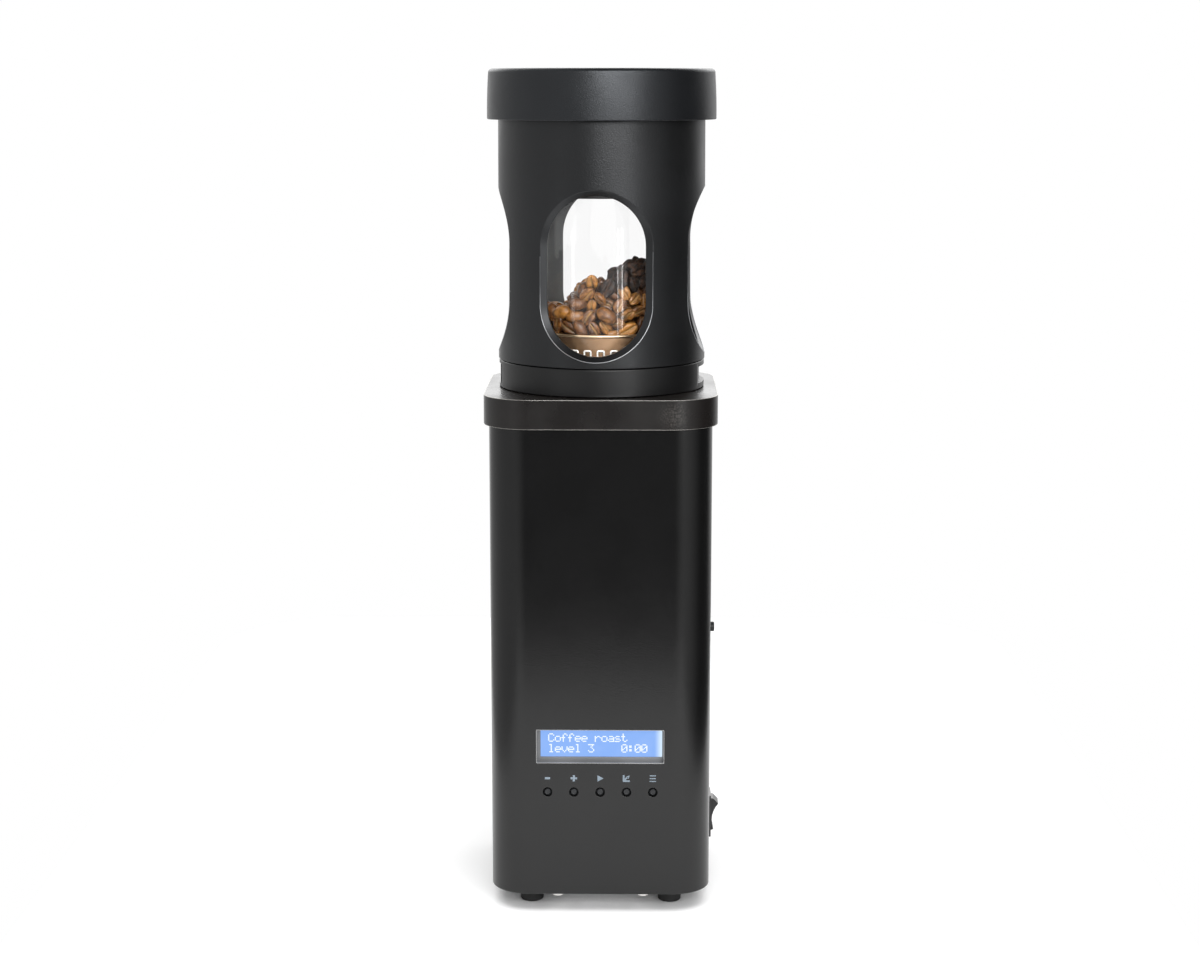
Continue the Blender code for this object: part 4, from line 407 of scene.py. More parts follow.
def new_group(name: str, ins: dict[str, float], outs: Sequence[str]) -> tuple[Graph, dict[str, Socket]]:
    """Start a shader node group.

    Args:
        name: Name of the group.
        ins: Its inputs and their first values.
        outs: Its outputs.

    Returns:
        The group's graph, and its input sockets by name.
    """
    graph = Graph(bpy.data.node_groups.new(name, "ShaderNodeTree"))
    sockets = graph.tree.interface
    for key, value in ins.items():
        sockets.new_socket(key, in_out="INPUT", socket_type="NodeSocketFloat").default_value = value
    for key in outs:
        sockets.new_socket(key, in_out="OUTPUT", socket_type="NodeSocketFloat")
    start = graph.add("NodeGroupInput")
    return graph, {key: start.outputs[key] for key in ins}


def grain_group() -> bpy.types.NodeTree:
    """Fine texture of paint or moulded plastic: a height, and a slow change of tone.

    Returns:
        The group's tree.
    """
    graph, ins = new_group("fine_grain", {"Scale": 1500.0, "Tone Scale": 40.0}, ("Height", "Tone"))
    tone = graph.remap(graph.noise(ins["Tone Scale"], 4.0), (0.35, 0.65))
    return graph.close({"Height": graph.noise(ins["Scale"], 2.0), "Tone": tone})


def smudge_group() -> bpy.types.NodeTree:
    """Roughness that drifts between two values, as on a wiped surface.

    Returns:
        The group's tree.
    """
    graph, ins = new_group("smudges", {"Scale": 30.0, "Low": 0.3, "High": 0.4}, ("Roughness",))
    share = graph.remap(graph.noise(ins["Scale"], 5.0), (0.38, 0.66))
    span = graph.calc("SUBTRACT", ins["High"], ins["Low"])
    return graph.close({"Roughness": graph.calc("MULTIPLY_ADD", share, span, ins["Low"])})


def edge_wear_highlight_dust_group() -> bpy.types.NodeTree:
    """Masks for rubbed edges, which are also a painted highlight on every rounded edge, and for dust on faces
    that look up.

    Returns:
        The group's tree.
    """
    graph, ins = new_group("wear_highlight_and_dust", {"Wear and Highlight": 0.3, "Dust": 0.1}, ("Edge", "Dust"))
    normal = graph.add("NewGeometry").outputs["Normal"]
    eased = graph.add("Bevel", {"Radius": 0.8 * MM}, samples=6).outputs[0]
    bend = graph.add("VectorMath", {0: eased, 1: normal}, operation="DOT_PRODUCT").outputs["Value"]
    broken = graph.remap(graph.noise(220.0, 4.0), (0.35, 0.6), (0.55, 1.0))
    edge = graph.times(graph.times(graph.remap(bend, (0.95, 0.82)), broken), ins["Wear and Highlight"])
    specks = graph.remap(graph.noise(900.0, 6.0), (0.52, 0.72), (0.15, 1.0))
    lying = graph.remap(graph.part(normal, 2), (0.55, 1.0))
    return graph.close({"Edge": edge, "Dust": graph.times(graph.times(lying, specks), ins["Dust"])})


GRAIN, SMUDGES, WEAR_HIGHLIGHT_DUST = grain_group(), smudge_group(), edge_wear_highlight_dust_group()


# Finishes


class Pattern(Enum):
    """What the colour and the relief of a finish follow."""

    GRAIN = "grain"
    TURNED = "turned"
    BRUSHED = "brushed"
    BOARD = "board"
    LAYERS = "layers"


@dataclass(frozen=True)
class Finish:
    """Opaque finish with grain, smudges, rubbed edges that are also a painted edge highlight, and dust.

    Its pale painted reflection lies on all that is within a radius, standing in for the grazing shine inside
    a bore; its smear is a dusty mark about a point, and its gleam the tint of what it reflects.
    """

    name: str
    colour: Colour
    second: Colour | None = None
    roughness: float = 0.4
    spread: float = 0.04
    metallic: float = 0.0
    specular: float = 0.5
    grain: float = 1500.0
    relief: float = 0.00003
    wear_and_highlight: float = 0.25
    dust: float = 0.0
    coat: float = 0.0
    pattern: Pattern = Pattern.GRAIN
    reflection_reach: float = 0.0
    smear_at: Corner | None = None
    gleam: Corner = (1.0, 1.0, 1.0)

    def material(self) -> bpy.types.Material:
        """Make the material of this finish, or fetch it once it is made.

        Returns:
            The material.
        """
        made = bpy.data.materials.get(self.name)
        if made is None:
            made = bpy.data.materials.new(self.name)
            made.use_nodes = True
            made.diffuse_color = (*self.colour, 1.0)
            self.fill(Graph(made.node_tree))
        return made

    def fill(self, graph: Graph) -> None:
        """Build the material's nodes.

        Args:
            graph: The material's empty node tree.
        """
        roughness = graph.add("Group", {"Low": self.roughness - self.spread,
                                        "High": self.roughness + self.spread}, node_tree=SMUDGES)
        marks = graph.add("Group", {"Wear and Highlight": self.wear_and_highlight, "Dust": self.dust}, node_tree=WEAR_HIGHLIGHT_DUST).outputs
        tone, height = self.figure(graph)
        second = self.second or tuple(c * SECOND_GAIN for c in self.colour)
        # Painted highlight: rounded edges are lightened towards the rubbed tone, partly as wear and partly to
        # stand in for the shine on their rounds
        rubbed_and_lit = tuple(min(1.0, c * RUB_HIGHLIGHT_GAIN + RUB_HIGHLIGHT_LIFT) for c in self.colour)
        colour = graph.blend(marks["Edge"], graph.blend(tone, self.colour, second), rubbed_and_lit)
        colour = graph.blend(marks["Dust"], colour, DUST_TONE)
        # Painted reflection: a pale tone on all within the radius stands in for the grazing shine of the
        # bore's back pillars
        if self.reflection_reach:
            bore_reflection = graph.remap(graph.reach(), (self.reflection_reach + 0.4 * MM, self.reflection_reach))
            bore_reflection = graph.times(bore_reflection, graph.remap(graph.noise(45.0, 4.0), (0.3, 0.7), (0.7, 1.0)))
            colour = graph.blend(bore_reflection, colour, BORE_REFLECTION_TONE)
        if self.smear_at:
            away = graph.add("VectorMath", {0: graph.place(), 1: self.smear_at}, operation="DISTANCE")
            smear = graph.remap(away.outputs["Value"], (0.0105, 0.0015), (0.0, 0.13))
            smear = graph.times(smear, graph.remap(graph.noise(1100.0, 8.0), (0.35, 0.75)))
            colour = graph.blend(smear, colour, SMEAR_TONE)
        graph.surface({
            "Base Color": colour, "Roughness": roughness.outputs[0], "Metallic": self.metallic,
            "Specular IOR Level": self.specular, "Specular Tint": (*self.gleam, 1.0),
            "Coat Weight": self.coat, "Normal": graph.bump(height, self.relief)})

    def figure(self, graph: Graph) -> tuple[Socket, Socket]:
        """Tone and height that the pattern gives.

        Args:
            graph: The material's node tree.

        Returns:
            The tone and the height sockets.
        """
        grain = graph.add("Group", {"Scale": self.grain}, node_tree=GRAIN).outputs
        if self.pattern is Pattern.GRAIN:
            return grain["Tone"], grain["Height"]
        place = graph.place()
        if self.pattern is Pattern.BRUSHED:
            drawn = graph.add("Mapping", {0: place, 3: (1.0, 1.0, 0.04)}).outputs[0]
            lines = graph.noise(self.grain, 3.0, drawn)
        elif self.pattern is Pattern.TURNED:
            rings = graph.add("CombineXYZ", {0: graph.reach(), 1: graph.part(place, 2)}).outputs[0]
            lines = graph.noise(self.grain, 4.0, rings)
        elif self.pattern is Pattern.LAYERS:
            sheets = graph.add("TexWave", {"Vector": place, "Scale": self.grain, "Distortion": 1.5,
                                           "Detail": 3.0}, bands_direction="Z").outputs[1]
            return sheets, grain["Height"]
        else:
            lines = graph.add("TexBrick", {"Vector": place, "Scale": self.grain, "Mortar Size": 0.03,
                                           "Bias": -0.2}).outputs[1]
        return lines, lines


@dataclass(frozen=True)
class ClearGlass(Finish):
    """Clear tube glass that lets the lamps through to what it holds."""

    def fill(self, graph: Graph) -> None:
        """Build the glass nodes.

        Args:
            graph: The material's empty node tree.
        """
        marks = graph.add("Group", {"Low": self.roughness, "High": self.roughness + self.spread},
                          node_tree=SMUDGES)
        glass = graph.add("BsdfPrincipled", {
            "Base Color": (*self.colour, 1.0), "Roughness": marks.outputs[0], "Transmission Weight": 1.0,
            "IOR": 1.37})
        clear = graph.add("BsdfTransparent", {"Color": (0.96, 0.97, 0.97, 1.0)})
        shadow = graph.add("LightPath").outputs["Is Shadow Ray"]
        mix = graph.add("MixShader", {0: shadow, 1: glass.outputs[0], 2: clear.outputs[0]})
        graph.add("OutputMaterial", {"Surface": mix.outputs[0]})


@dataclass(frozen=True)
class LitPanel(Finish):
    """Backlit display glass, brighter towards the lamp at its right edge."""

    glow: float = 0.55
    lamp_side: Point = (0.0, 0.035)

    def fill(self, graph: Graph) -> None:
        """Build the backlight nodes.

        Args:
            graph: The material's empty node tree.
        """
        near = graph.remap(graph.part(graph.place(), 0), self.lamp_side)
        colour = graph.blend(near, self.colour, self.second or self.colour)
        haze = graph.remap(graph.noise(60.0, 3.0), (0.4, 0.7), (0.0, 0.08))
        colour = graph.blend(haze, colour, (0.7, 0.8, 1.0))
        graph.surface({
            "Base Color": graph.blend(0.9, colour, (0.0, 0.0, 0.0)), "Roughness": self.roughness,
            "Emission Color": colour, "Emission Strength": self.glow, "Specular IOR Level": self.specular})


@dataclass(frozen=True)
class BeanSkin(Finish):
    """Roasted bean: tone by bean, pale silver skin in the crease, painted shade in the crevices between
    beans, oily patches.
    """

    burnt: Colour = (0.006, 0.003, 0.002)
    silver_skin: Colour = (0.42, 0.26, 0.10)
    crevice_shade_tone: Colour = (0.012, 0.006, 0.004)

    def fill(self, graph: Graph) -> None:
        """Build the bean nodes.

        Args:
            graph: The material's empty node tree.
        """
        roast, crease = (graph.add("Attribute", attribute_name=key).outputs["Fac"]
                         for key in ("roast", "crease"))
        mottle = graph.remap(graph.noise(420.0, 5.0), (0.3, 0.7), (-0.18, 0.18))
        ramp = graph.add("ValToRGB", {0: graph.calc("ADD", roast, mottle)})
        stops = ramp.color_ramp.elements
        stops[0].position, stops[0].color = 0.0, (*self.burnt, 1.0)
        stops[1].position, stops[1].color = 1.0, (*self.colour, 1.0)
        stops.new(0.5).color = (*self.second, 1.0)
        pale = graph.times(crease, graph.remap(roast, (0.14, 0.3), (0.0, 0.75)))
        colour = graph.blend(pale, ramp.outputs[0], self.silver_skin)
        # Painted shade: ambient occlusion darkens the colour in the crevices between beans
        painted_shade_ao = graph.add("AmbientOcclusion", {"Distance": 5 * MM}, samples=8, only_local=True).outputs["AO"]
        colour = graph.blend(graph.remap(painted_shade_ao, (0.15, 0.65), (0.85, 0.0)), colour, self.crevice_shade_tone)
        oil = graph.remap(graph.noise(160.0, 3.0), (0.4, 0.65), (self.roughness + 0.12, self.roughness))
        oil = graph.calc("ADD", oil, graph.remap(roast, (0.16, 0.3), (0.35, 0.0)))
        graph.surface({"Base Color": colour, "Roughness": oil, "Specular IOR Level": self.specular,
                       "Normal": graph.bump(graph.noise(1300.0, 4.0), self.relief)})


LID_BLACK = Finish("lid_black", (0.0042, 0.0046, 0.0056), roughness=0.37, specular=0.6, grain=2200.0,
                   relief=0.00007, gleam=(0.91, 0.95, 1.0))
SLEEVE_BLACK = Finish("sleeve_black", (0.0044, 0.0046, 0.0050), roughness=0.36, specular=0.55, grain=1400.0,
                      relief=0.00006, gleam=(0.95, 0.97, 1.0), reflection_reach=0.0510)
BOWL_BLACK = Finish("bowl_black", (0.0045, 0.0045, 0.0047), roughness=0.40, grain=2400.0, dust=0.2)
# Pale metal of the painted highlight line on the sleeve's window edges
EDGE_HIGHLIGHT = Finish("edge_highlight", (0.50, 0.51, 0.53), roughness=0.36, metallic=1.0, wear_and_highlight=0.0)
COLLAR_BLACK = Finish("collar_black", (0.0042, 0.0042, 0.0044), roughness=0.36, grain=2400.0)
CAP_BLACK = Finish("cap_black", (0.0080, 0.0064, 0.0058), roughness=0.29, dust=0.03,
                   smear_at=(0.0380, -0.0615, 0.2700))
# Pale metal wires on the cap's edges, a painted highlight
CAP_EDGE_HIGHLIGHT = Finish("cap_edge_highlight", (0.52, 0.50, 0.47), roughness=0.40, metallic=1.0, wear_and_highlight=0.0)
BODY_PAINT = Finish("body_paint", (0.0032, 0.0032, 0.0033), roughness=0.19, spread=0.01, grain=1800.0,
                    wear_and_highlight=0.35)
SATIN_STEEL = Finish("satin_steel", (0.60, 0.60, 0.61), roughness=0.30, metallic=1.0, grain=900.0,
                     pattern=Pattern.TURNED)
SCREW_BLACK = Finish("screw_black", (0.010, 0.011, 0.012), roughness=0.34, specular=0.4, relief=0.00001)
SCREW_STEEL = Finish("screw_steel", (0.80, 0.79, 0.77), roughness=0.32, metallic=1.0, relief=0.00001)
# Near white for the base screws' steel heads, a painted reflection of the lit floor
SCREW_HEAD_REFLECTION = Finish("screw_head_reflection", (0.97, 0.95, 0.91), roughness=0.35, relief=0.00001)
DULL_STEEL = Finish("dull_steel", (0.48, 0.48, 0.49), roughness=0.42, metallic=1.0, grain=700.0)
BRASS_SHEET = Finish("brass_sheet", (0.27, 0.165, 0.095), (0.23, 0.14, 0.078), roughness=0.50, metallic=1.0,
                     grain=500.0, relief=0.000006, pattern=Pattern.TURNED)
BRASS_RIM = Finish("brass_rim", (0.85, 0.64, 0.42), roughness=0.34, metallic=1.0, relief=0.00001)
SEAL_RED = Finish("seal_red", (0.26, 0.045, 0.030), roughness=0.62, wear_and_highlight=0.1)
FOOT_RUBBER = Finish("soft_rubber", (0.010, 0.010, 0.010), roughness=0.72, grain=3500.0, dust=0.05)
BEZEL_GREY = Finish("bezel_grey", (0.20, 0.205, 0.215), roughness=0.45)
BUTTON_GREY = Finish("button_dark", (0.020, 0.021, 0.023), roughness=0.40, specular=0.4, wear_and_highlight=0.15)
MARK_GREY = Finish("mark_grey", (0.215, 0.265, 0.315), (0.19, 0.24, 0.29), roughness=0.5, wear_and_highlight=0.0)
# Pale trim round the display opening, a painted highlight
DISPLAY_EDGE_HIGHLIGHT = Finish("display_edge_highlight", (0.42, 0.42, 0.42), roughness=0.4, metallic=0.6, wear_and_highlight=0.0)
# Near white for the louvre rims on the brass basket, a painted highlight
LOUVRE_HIGHLIGHT = Finish("louvre_highlight", (1.0, 0.98, 0.95), roughness=0.28, metallic=0.4, relief=0.00001)
SWITCH_BLACK = Finish("switch_black", (0.012, 0.012, 0.013), roughness=0.34)
INLET_BLACK = Finish("inlet_black", (0.014, 0.014, 0.015), roughness=0.46)
MOULDED_BLACK = Finish("moulded_black", (0.020, 0.020, 0.021), roughness=0.5)
BOARD_GREEN = Finish("board_green", (0.015, 0.13, 0.05), (0.02, 0.20, 0.075), roughness=0.35, grain=260.0,
                     coat=0.4, pattern=Pattern.BOARD)
CARD_TAN = Finish("card_tan", (0.46, 0.38, 0.25), (0.36, 0.28, 0.17), roughness=0.7, grain=500.0,
                  pattern=Pattern.LAYERS)
WIRE_METAL = Finish("wire_metal", (0.50, 0.42, 0.36), roughness=0.4, metallic=1.0, grain=1200.0)
MOTOR_STEEL = Finish("motor_steel", (0.40, 0.41, 0.42), roughness=0.33, metallic=1.0, grain=900.0,
                     pattern=Pattern.BRUSHED)
TUBE_GLASS = ClearGlass("tube_glass", (1.0, 1.0, 1.0), roughness=0.0, spread=0.0015)
LCD_GLASS = LitPanel("lcd_glass", (0.235, 0.43, 0.90), (0.72, 0.88, 1.0), roughness=0.2, specular=0.3,
                     glow=0.92, lamp_side=(0.0285, 0.0335))
LCD_DOTS = LitPanel("lcd_dots", (0.90, 0.96, 1.0), (0.97, 0.99, 1.0), roughness=0.3, glow=1.0)
BEAN_BROWN = BeanSkin("bean_brown", (0.36, 0.158, 0.034), (0.100, 0.036, 0.009), roughness=0.24,
                      relief=0.00012)


# Upper assembly


def ring_piece(span: Span, fillet: float, name: str, body: str, finish: Finish, node: str) -> None:
    """Turned ring with rounded edges, which replaces one CAD node."""
    profile = ring_profile(span, fillet, fillet)
    Stock().turn(profile, RING_ROUND).piece(name, body, finish, [node], sharp=60)


@dataclass
class Lid:
    """Round lid that stands on the sleeve by its ribs, with an air gap under its skirt."""

    radius: float = 0.0610
    top_radius: float = 0.0601
    low: float = 0.4210
    top: float = 0.4475
    wall: float = 0.0030
    roof: float = 0.0035
    edge: float = 0.0022
    crown: float = 0.00028
    crown_shares: tuple[float, ...] = (0.15, 0.3, 0.45, 0.6, 0.75, 0.9)
    rib_low: float = 0.4333
    rib_inner: float = 0.0451
    rib_width: float = 0.0030
    tab_low: float = 0.4275
    tab_outer: float = 0.0519
    rib_count: int = 6

    def build(self) -> None:
        """Turn the shell and join the ribs and their locating tabs to it."""
        inner, inner_top = self.radius - self.wall, self.top_radius - self.wall
        under = self.top - self.roof
        side = [(self.top_radius + (self.radius - self.top_radius) * s + self.crown * 4 * s * (1 - s),
                 self.top + (self.low - self.top) * s, 0) for s in self.crown_shares]
        profile = rounded([(AXIS, self.top, 0), (self.top_radius, self.top, self.edge), *side,
                           (self.radius, self.low, 0.0006), (inner, self.low, 0.0005),
                           (inner_top, under, 0.0015), (AXIS, under, 0)], 8, closed=False)
        ribs, tabs = Stock(), Stock()
        half = self.rib_width / 2
        slim = half - 0.1 * MM
        for place in turns(self.rib_count):
            ribs.block((self.rib_inner, -half, self.rib_low), (inner_top + MM, half, under + MM), place)
            tabs.block((self.rib_inner + MM, -slim, self.tab_low),
                       (self.tab_outer, slim, self.rib_low + 0.5 * MM), place)
        shell = Stock().turn(profile, ring=False).carve(ribs, Carve.JOIN).carve(tabs, Carve.JOIN)
        shell.piece("lid_cover", "lid", LID_BLACK, ["lid_shell"], sharp=30)


@dataclass
class Sleeve:
    """Drafted sleeve with four arched windows, chamfered towards the glass.

    Its ledge, bowl, seat and mouth are the steps that take the chaff bowl and its screen, and the highlight
    heights say where a painted highlight runs on its windows' edges.
    """

    radius: float = 0.0556
    top_radius: float = 0.0551
    low: float = 0.29395
    top: float = 0.4330
    bore: float = 0.0506
    half_width: float = 0.0293
    narrow: float = 0.02553
    window_low: float = 0.2971
    window_high: float = 0.3858
    chamfer: float = 0.0028
    round_edge: float = 0.00035
    ledge: float = 0.3810
    bowl: float = 0.0520
    seat: float = 0.4257
    mouth: float = 0.0530
    count: int = 4
    arc_steps: int = 64
    side_steps: int = 12
    skin_shares: tuple[float, ...] = (1.0, 0.82, 0.64, 0.46, 0.3, 0.16, 0.06)
    highlight_high: float = 0.357
    highlight_centre: float = 0.372
    highlight_full: float = 0.337
    highlight_fade: float = 0.018

    def outline(self) -> list[tuple[float, ...]]:
        """Window outline and the border point that each of its points faces.

        Returns:
            Unit place across, base height, share of the end's rise, border angle and border height.
        """
        middle = (self.window_low + self.window_high) / 2
        straight = (self.window_high - self.window_low) / 2 - self.half_width
        border = math.pi / self.count
        points = []
        for end in (1, -1):
            far = self.top - self.round_edge if end > 0 else self.low + self.round_edge
            base = middle + end * straight
            for i in range(self.arc_steps + 1):
                angle = math.pi * i / self.arc_steps
                turned = min(max(2 * i / self.arc_steps - 0.5, 0.0), 1.0)
                rise = min(4 * i / self.arc_steps, 4 * (1 - i / self.arc_steps), 1.0)
                points.append((end * math.cos(angle), base, end * math.sin(angle),
                               end * border * (1 - 2 * turned), base + (far - base) * rise))
            for i in range(1, self.side_steps):
                z = base - end * 2 * straight * i / self.side_steps
                points.append((-end, z, 0.0, -end * border, z))
        return points

    def skin(self, angle: float, z: float, depth: float = 0.0) -> Vector:
        """Point on the drafted surface, or under it.

        Args:
            angle: Angle from the front.
            z: Height.
            depth: How deep the point lies under the surface.

        Returns:
            The point.
        """
        share = (z - self.low) / (self.top - self.low)
        radius = self.radius + (self.top_radius - self.radius) * share - depth
        return Vector((radius * math.sin(angle), -radius * math.cos(angle), z))

    def across(self, x: float, z: float, depth: float) -> Vector:
        """Point on the surface, or that deep under it, at a place across the window."""
        radius = self.skin(0.0, z, depth).xy.length
        return self.skin(math.asin(x / radius), z, depth)

    def strip(self, cos: float, base: float, sin: float, border: float, height: float) -> list[Vector]:
        """Points from the sector's border over the skin, through the window and back along the bore.

        Args:
            cos: Place across the window, as a share of its half width.
            base: Height of the centre of the arc, or of the point on a straight side.
            sin: Rise over that centre, as a share of the arc's rise.
            border: Angle of the facing point on the sector's border.
            height: Height of the facing point.

        Returns:
            Points of the strip.
        """
        outer = self.across(self.half_width * cos, base + self.half_width * sin, 0.0)
        inner = self.across(self.narrow * cos, base + (self.half_width - self.chamfer) * sin, self.chamfer)
        back = Vector((inner.x, -math.sqrt(self.bore ** 2 - inner.x ** 2), inner.z))
        angle, start = (math.atan2(p.x, -p.y) for p in (outer, back))

        def over(share: float) -> Vector:
            """Point of the skin at a share of the way to the border."""
            return self.skin(angle + (border - angle) * share, outer.z + (height - outer.z) * share)

        def inside(share: float) -> Vector:
            """Point of the bore at a share of the way to the border."""
            turned, z = start + (border - start) * share, back.z + (height - back.z) * share
            return Vector((self.bore * math.sin(turned), -self.bore * math.cos(turned), z))

        edge = self.round_edge
        near, near_in = (edge / max((far - here).length, edge)
                         for far, here in ((over(1.0), outer), (inside(1.0), back)))
        slope = (inner - outer).normalized() * edge
        down = (back - inner).normalized() * edge
        return [*(over(s) for s in self.skin_shares),
                *ease(over(near), outer, outer + slope), *ease(inner - slope, inner, inner + down),
                *ease(back - down, back, inside(near_in)), *(inside(s) for s in reversed(self.skin_shares))]

    def lip(self, strip: list[Vector], top: bool) -> list[Vector]:
        """Points that close the wall over one of its ends, from skin to bore.

        Args:
            strip: Strip that the points continue.
            top: Whether the end is the upper one.

        Returns:
            The points, with the strip's first and last point at their ends.
        """
        skin, bore = strip[0], strip[-1]
        inward = (bore - skin).normalized() * self.round_edge
        over, under = (Vector((p.x, p.y, self.top if top else self.low)) for p in (skin, bore))
        return ease(skin, over, over + inward) + ease(under - inward, under, bore)

    def build(self) -> None:
        """Loft the four window sectors, weld them and bore the chaff bowl."""
        stock = Stock()
        outline = self.outline()
        strips = [self.strip(*p) for p in outline]
        ends = (self.top - self.round_edge, self.low + self.round_edge)
        for place in turns(self.count):
            rows = [[stock.bm.verts.new(place @ p) for p in strip] for strip in strips]
            lips = [[None if abs(p[4] - z) > 1e-9 else
                     [row[0], *(stock.bm.verts.new(place @ q) for q in self.lip(strip, z == ends[0])[1:-1]),
                      row[-1]] for p, strip, row in zip(outline, strips, rows)] for z in ends]
            for i in range(len(rows)):
                j = (i + 1) % len(rows)
                for a, b in [(rows[i], rows[j])] + [(lip[i], lip[j]) for lip in lips if lip[i] and lip[j]]:
                    for n in range(len(a) - 1):
                        stock.bm.faces.new((a[n], a[n + 1], b[n + 1], b[n]))
        bmesh.ops.remove_doubles(stock.bm, verts=stock.bm.verts, dist=0.002 * MM)
        over = self.top + 5 * MM
        bowl = Stock().turn([(AXIS, self.ledge), (self.bowl, self.ledge), (self.bowl, self.seat),
                             (self.mouth, self.seat), (self.mouth, over), (AXIS, over)], ring=False)
        stock.carve(bowl).move(Matrix.Rotation(UPPER_TURN, 4, "Z"))
        stock.piece("sleeve_wall", "collector", SLEEVE_BLACK, ["chaff_sleeve"], sharp=50)
        self.paint_edge_highlights()

    def paint_edge_highlights(self) -> None:
        """Painted highlight: a pale metal line on the lower edge of each window, thinner up its sides."""
        path = [self.across(self.half_width * cos, base + self.half_width * sin, 0.08 * MM)
                for cos, base, sin, _, _ in self.outline()
                if sin < 0 or (sin == 0 and base < self.highlight_high)]
        path.sort(key=lambda p: math.atan2(p.z - self.highlight_centre, p.x) if p.x > 0 else
                  -math.pi - math.atan2(p.z - self.highlight_centre, -p.x))
        loops = []
        for before, here, after in zip(path, path[1:], path[2:]):
            share = min(max((self.highlight_full - here.z) / self.highlight_fade, 0.0), 1.0)
            out = Vector((here.x, here.y, 0)).normalized()
            side = (after - before).normalized().cross(out).normalized()
            loops.append(wire_loop(here, side, out, (0.07 + 0.16 * share) * MM))
        # Painted highlight: pale wires along the lower window edges stand in for the shine on their rounds
        rims = Stock()
        for place in turns(self.count, UPPER_TURN):
            rims.loft([[place @ p for p in loop] for loop in loops])
        rims.piece("window_edges", "collector", EDGE_HIGHLIGHT, slot="chaff_sleeve", sharp=70)


@dataclass
class ChaffBowl:
    """Chimney ring, its glass seal and the chaff screen over them."""

    floor_radius: float = 0.0514
    floor: float = 0.3813
    floor_top: float = 0.3835
    pocket: float = 0.0426
    wall: float = 0.0022
    pocket_top: float = 0.3875
    bore: float = 0.0364
    top: float = 0.4139
    seal: Span = (0.0400, 0.0420, 0.3816, 0.3872)
    screen: Span = (0.0478, 0.0524, 0.4260, 0.4272)
    weave_radius: float = 0.0488
    weave_pitch: float = 0.0024
    wire: float = 0.00028
    sway: float = 0.00026

    def build(self) -> None:
        """Turn the chimney and the seal, and weave the screen."""
        out, shoulder = self.bore + self.wall, self.pocket_top + self.wall
        skirt = self.pocket + self.wall
        profile = rounded([(out, self.top, 0.0009), (out, shoulder, 0.0012), (skirt, shoulder, 0.0012),
                           (skirt, self.floor_top, 0.001), (self.floor_radius, self.floor_top, 0.0006),
                           (self.floor_radius, self.floor, 0.0004), (self.pocket, self.floor, 0.0003),
                           (self.pocket, self.pocket_top, 0.0003), (self.bore, self.pocket_top, 0.0006),
                           (self.bore, self.top, 0.0009)], 4)
        chimney = Stock().turn(profile, RING_ROUND)
        chimney.piece("chimney", "collector", BOWL_BLACK, ["chimney_ring"], sharp=50)
        ring_piece(self.seal, 0.0006, "glass_top_seal", "collector", SEAL_RED, "upper_glass_seal")
        self.weave()

    def weave(self) -> None:
        """Rim and woven wires of the chaff screen."""
        middle = (self.screen[2] + self.screen[3]) / 2
        stock = Stock().turn(ring_profile(self.screen, 0.0004, 0.0004, 3), RING_ROUND)
        count = int(self.weave_radius / self.weave_pitch)
        right, back, up = (Vector(row) for row in np.eye(3))
        for shift, (run, across) in enumerate(((right, back), (back, right))):
            for k in range(-count, count + 1):
                half = math.sqrt(self.weave_radius ** 2 - (k * self.weave_pitch) ** 2)
                steps = max(2, 2 * int(half / self.weave_pitch))
                path = []
                for n in range(steps + 1):
                    along = -half + 2 * half * n / steps
                    rise = self.sway * math.cos(math.pi * (along / self.weave_pitch + k + shift))
                    path.append(run * along + across * (k * self.weave_pitch) + up * (middle + rise))
                stock.loft([[p + d * self.wire for d in (-across, -up, across, up)] for p in path])
        stock.piece("woven_screen", "collector", SATIN_STEEL, ["chaff_screen"], sharp=60)


@dataclass
class RoastTube:
    """Glass tube with fire-polished ends, and the seal that it stands on."""

    tube: Span = (0.0370, 0.0394, 0.28575, 0.3872)
    seal: Span = (0.0370, 0.0403, 0.28395, 0.28545)

    def build(self) -> None:
        """Turn the tube and its seal."""
        ring_piece(self.tube, 0.0008, "clear_tube", "chamber", TUBE_GLASS, "glass_tube")
        ring_piece(self.seal, 0.0005, "glass_foot_seal", "chamber", SEAL_RED, "lower_glass_seal")


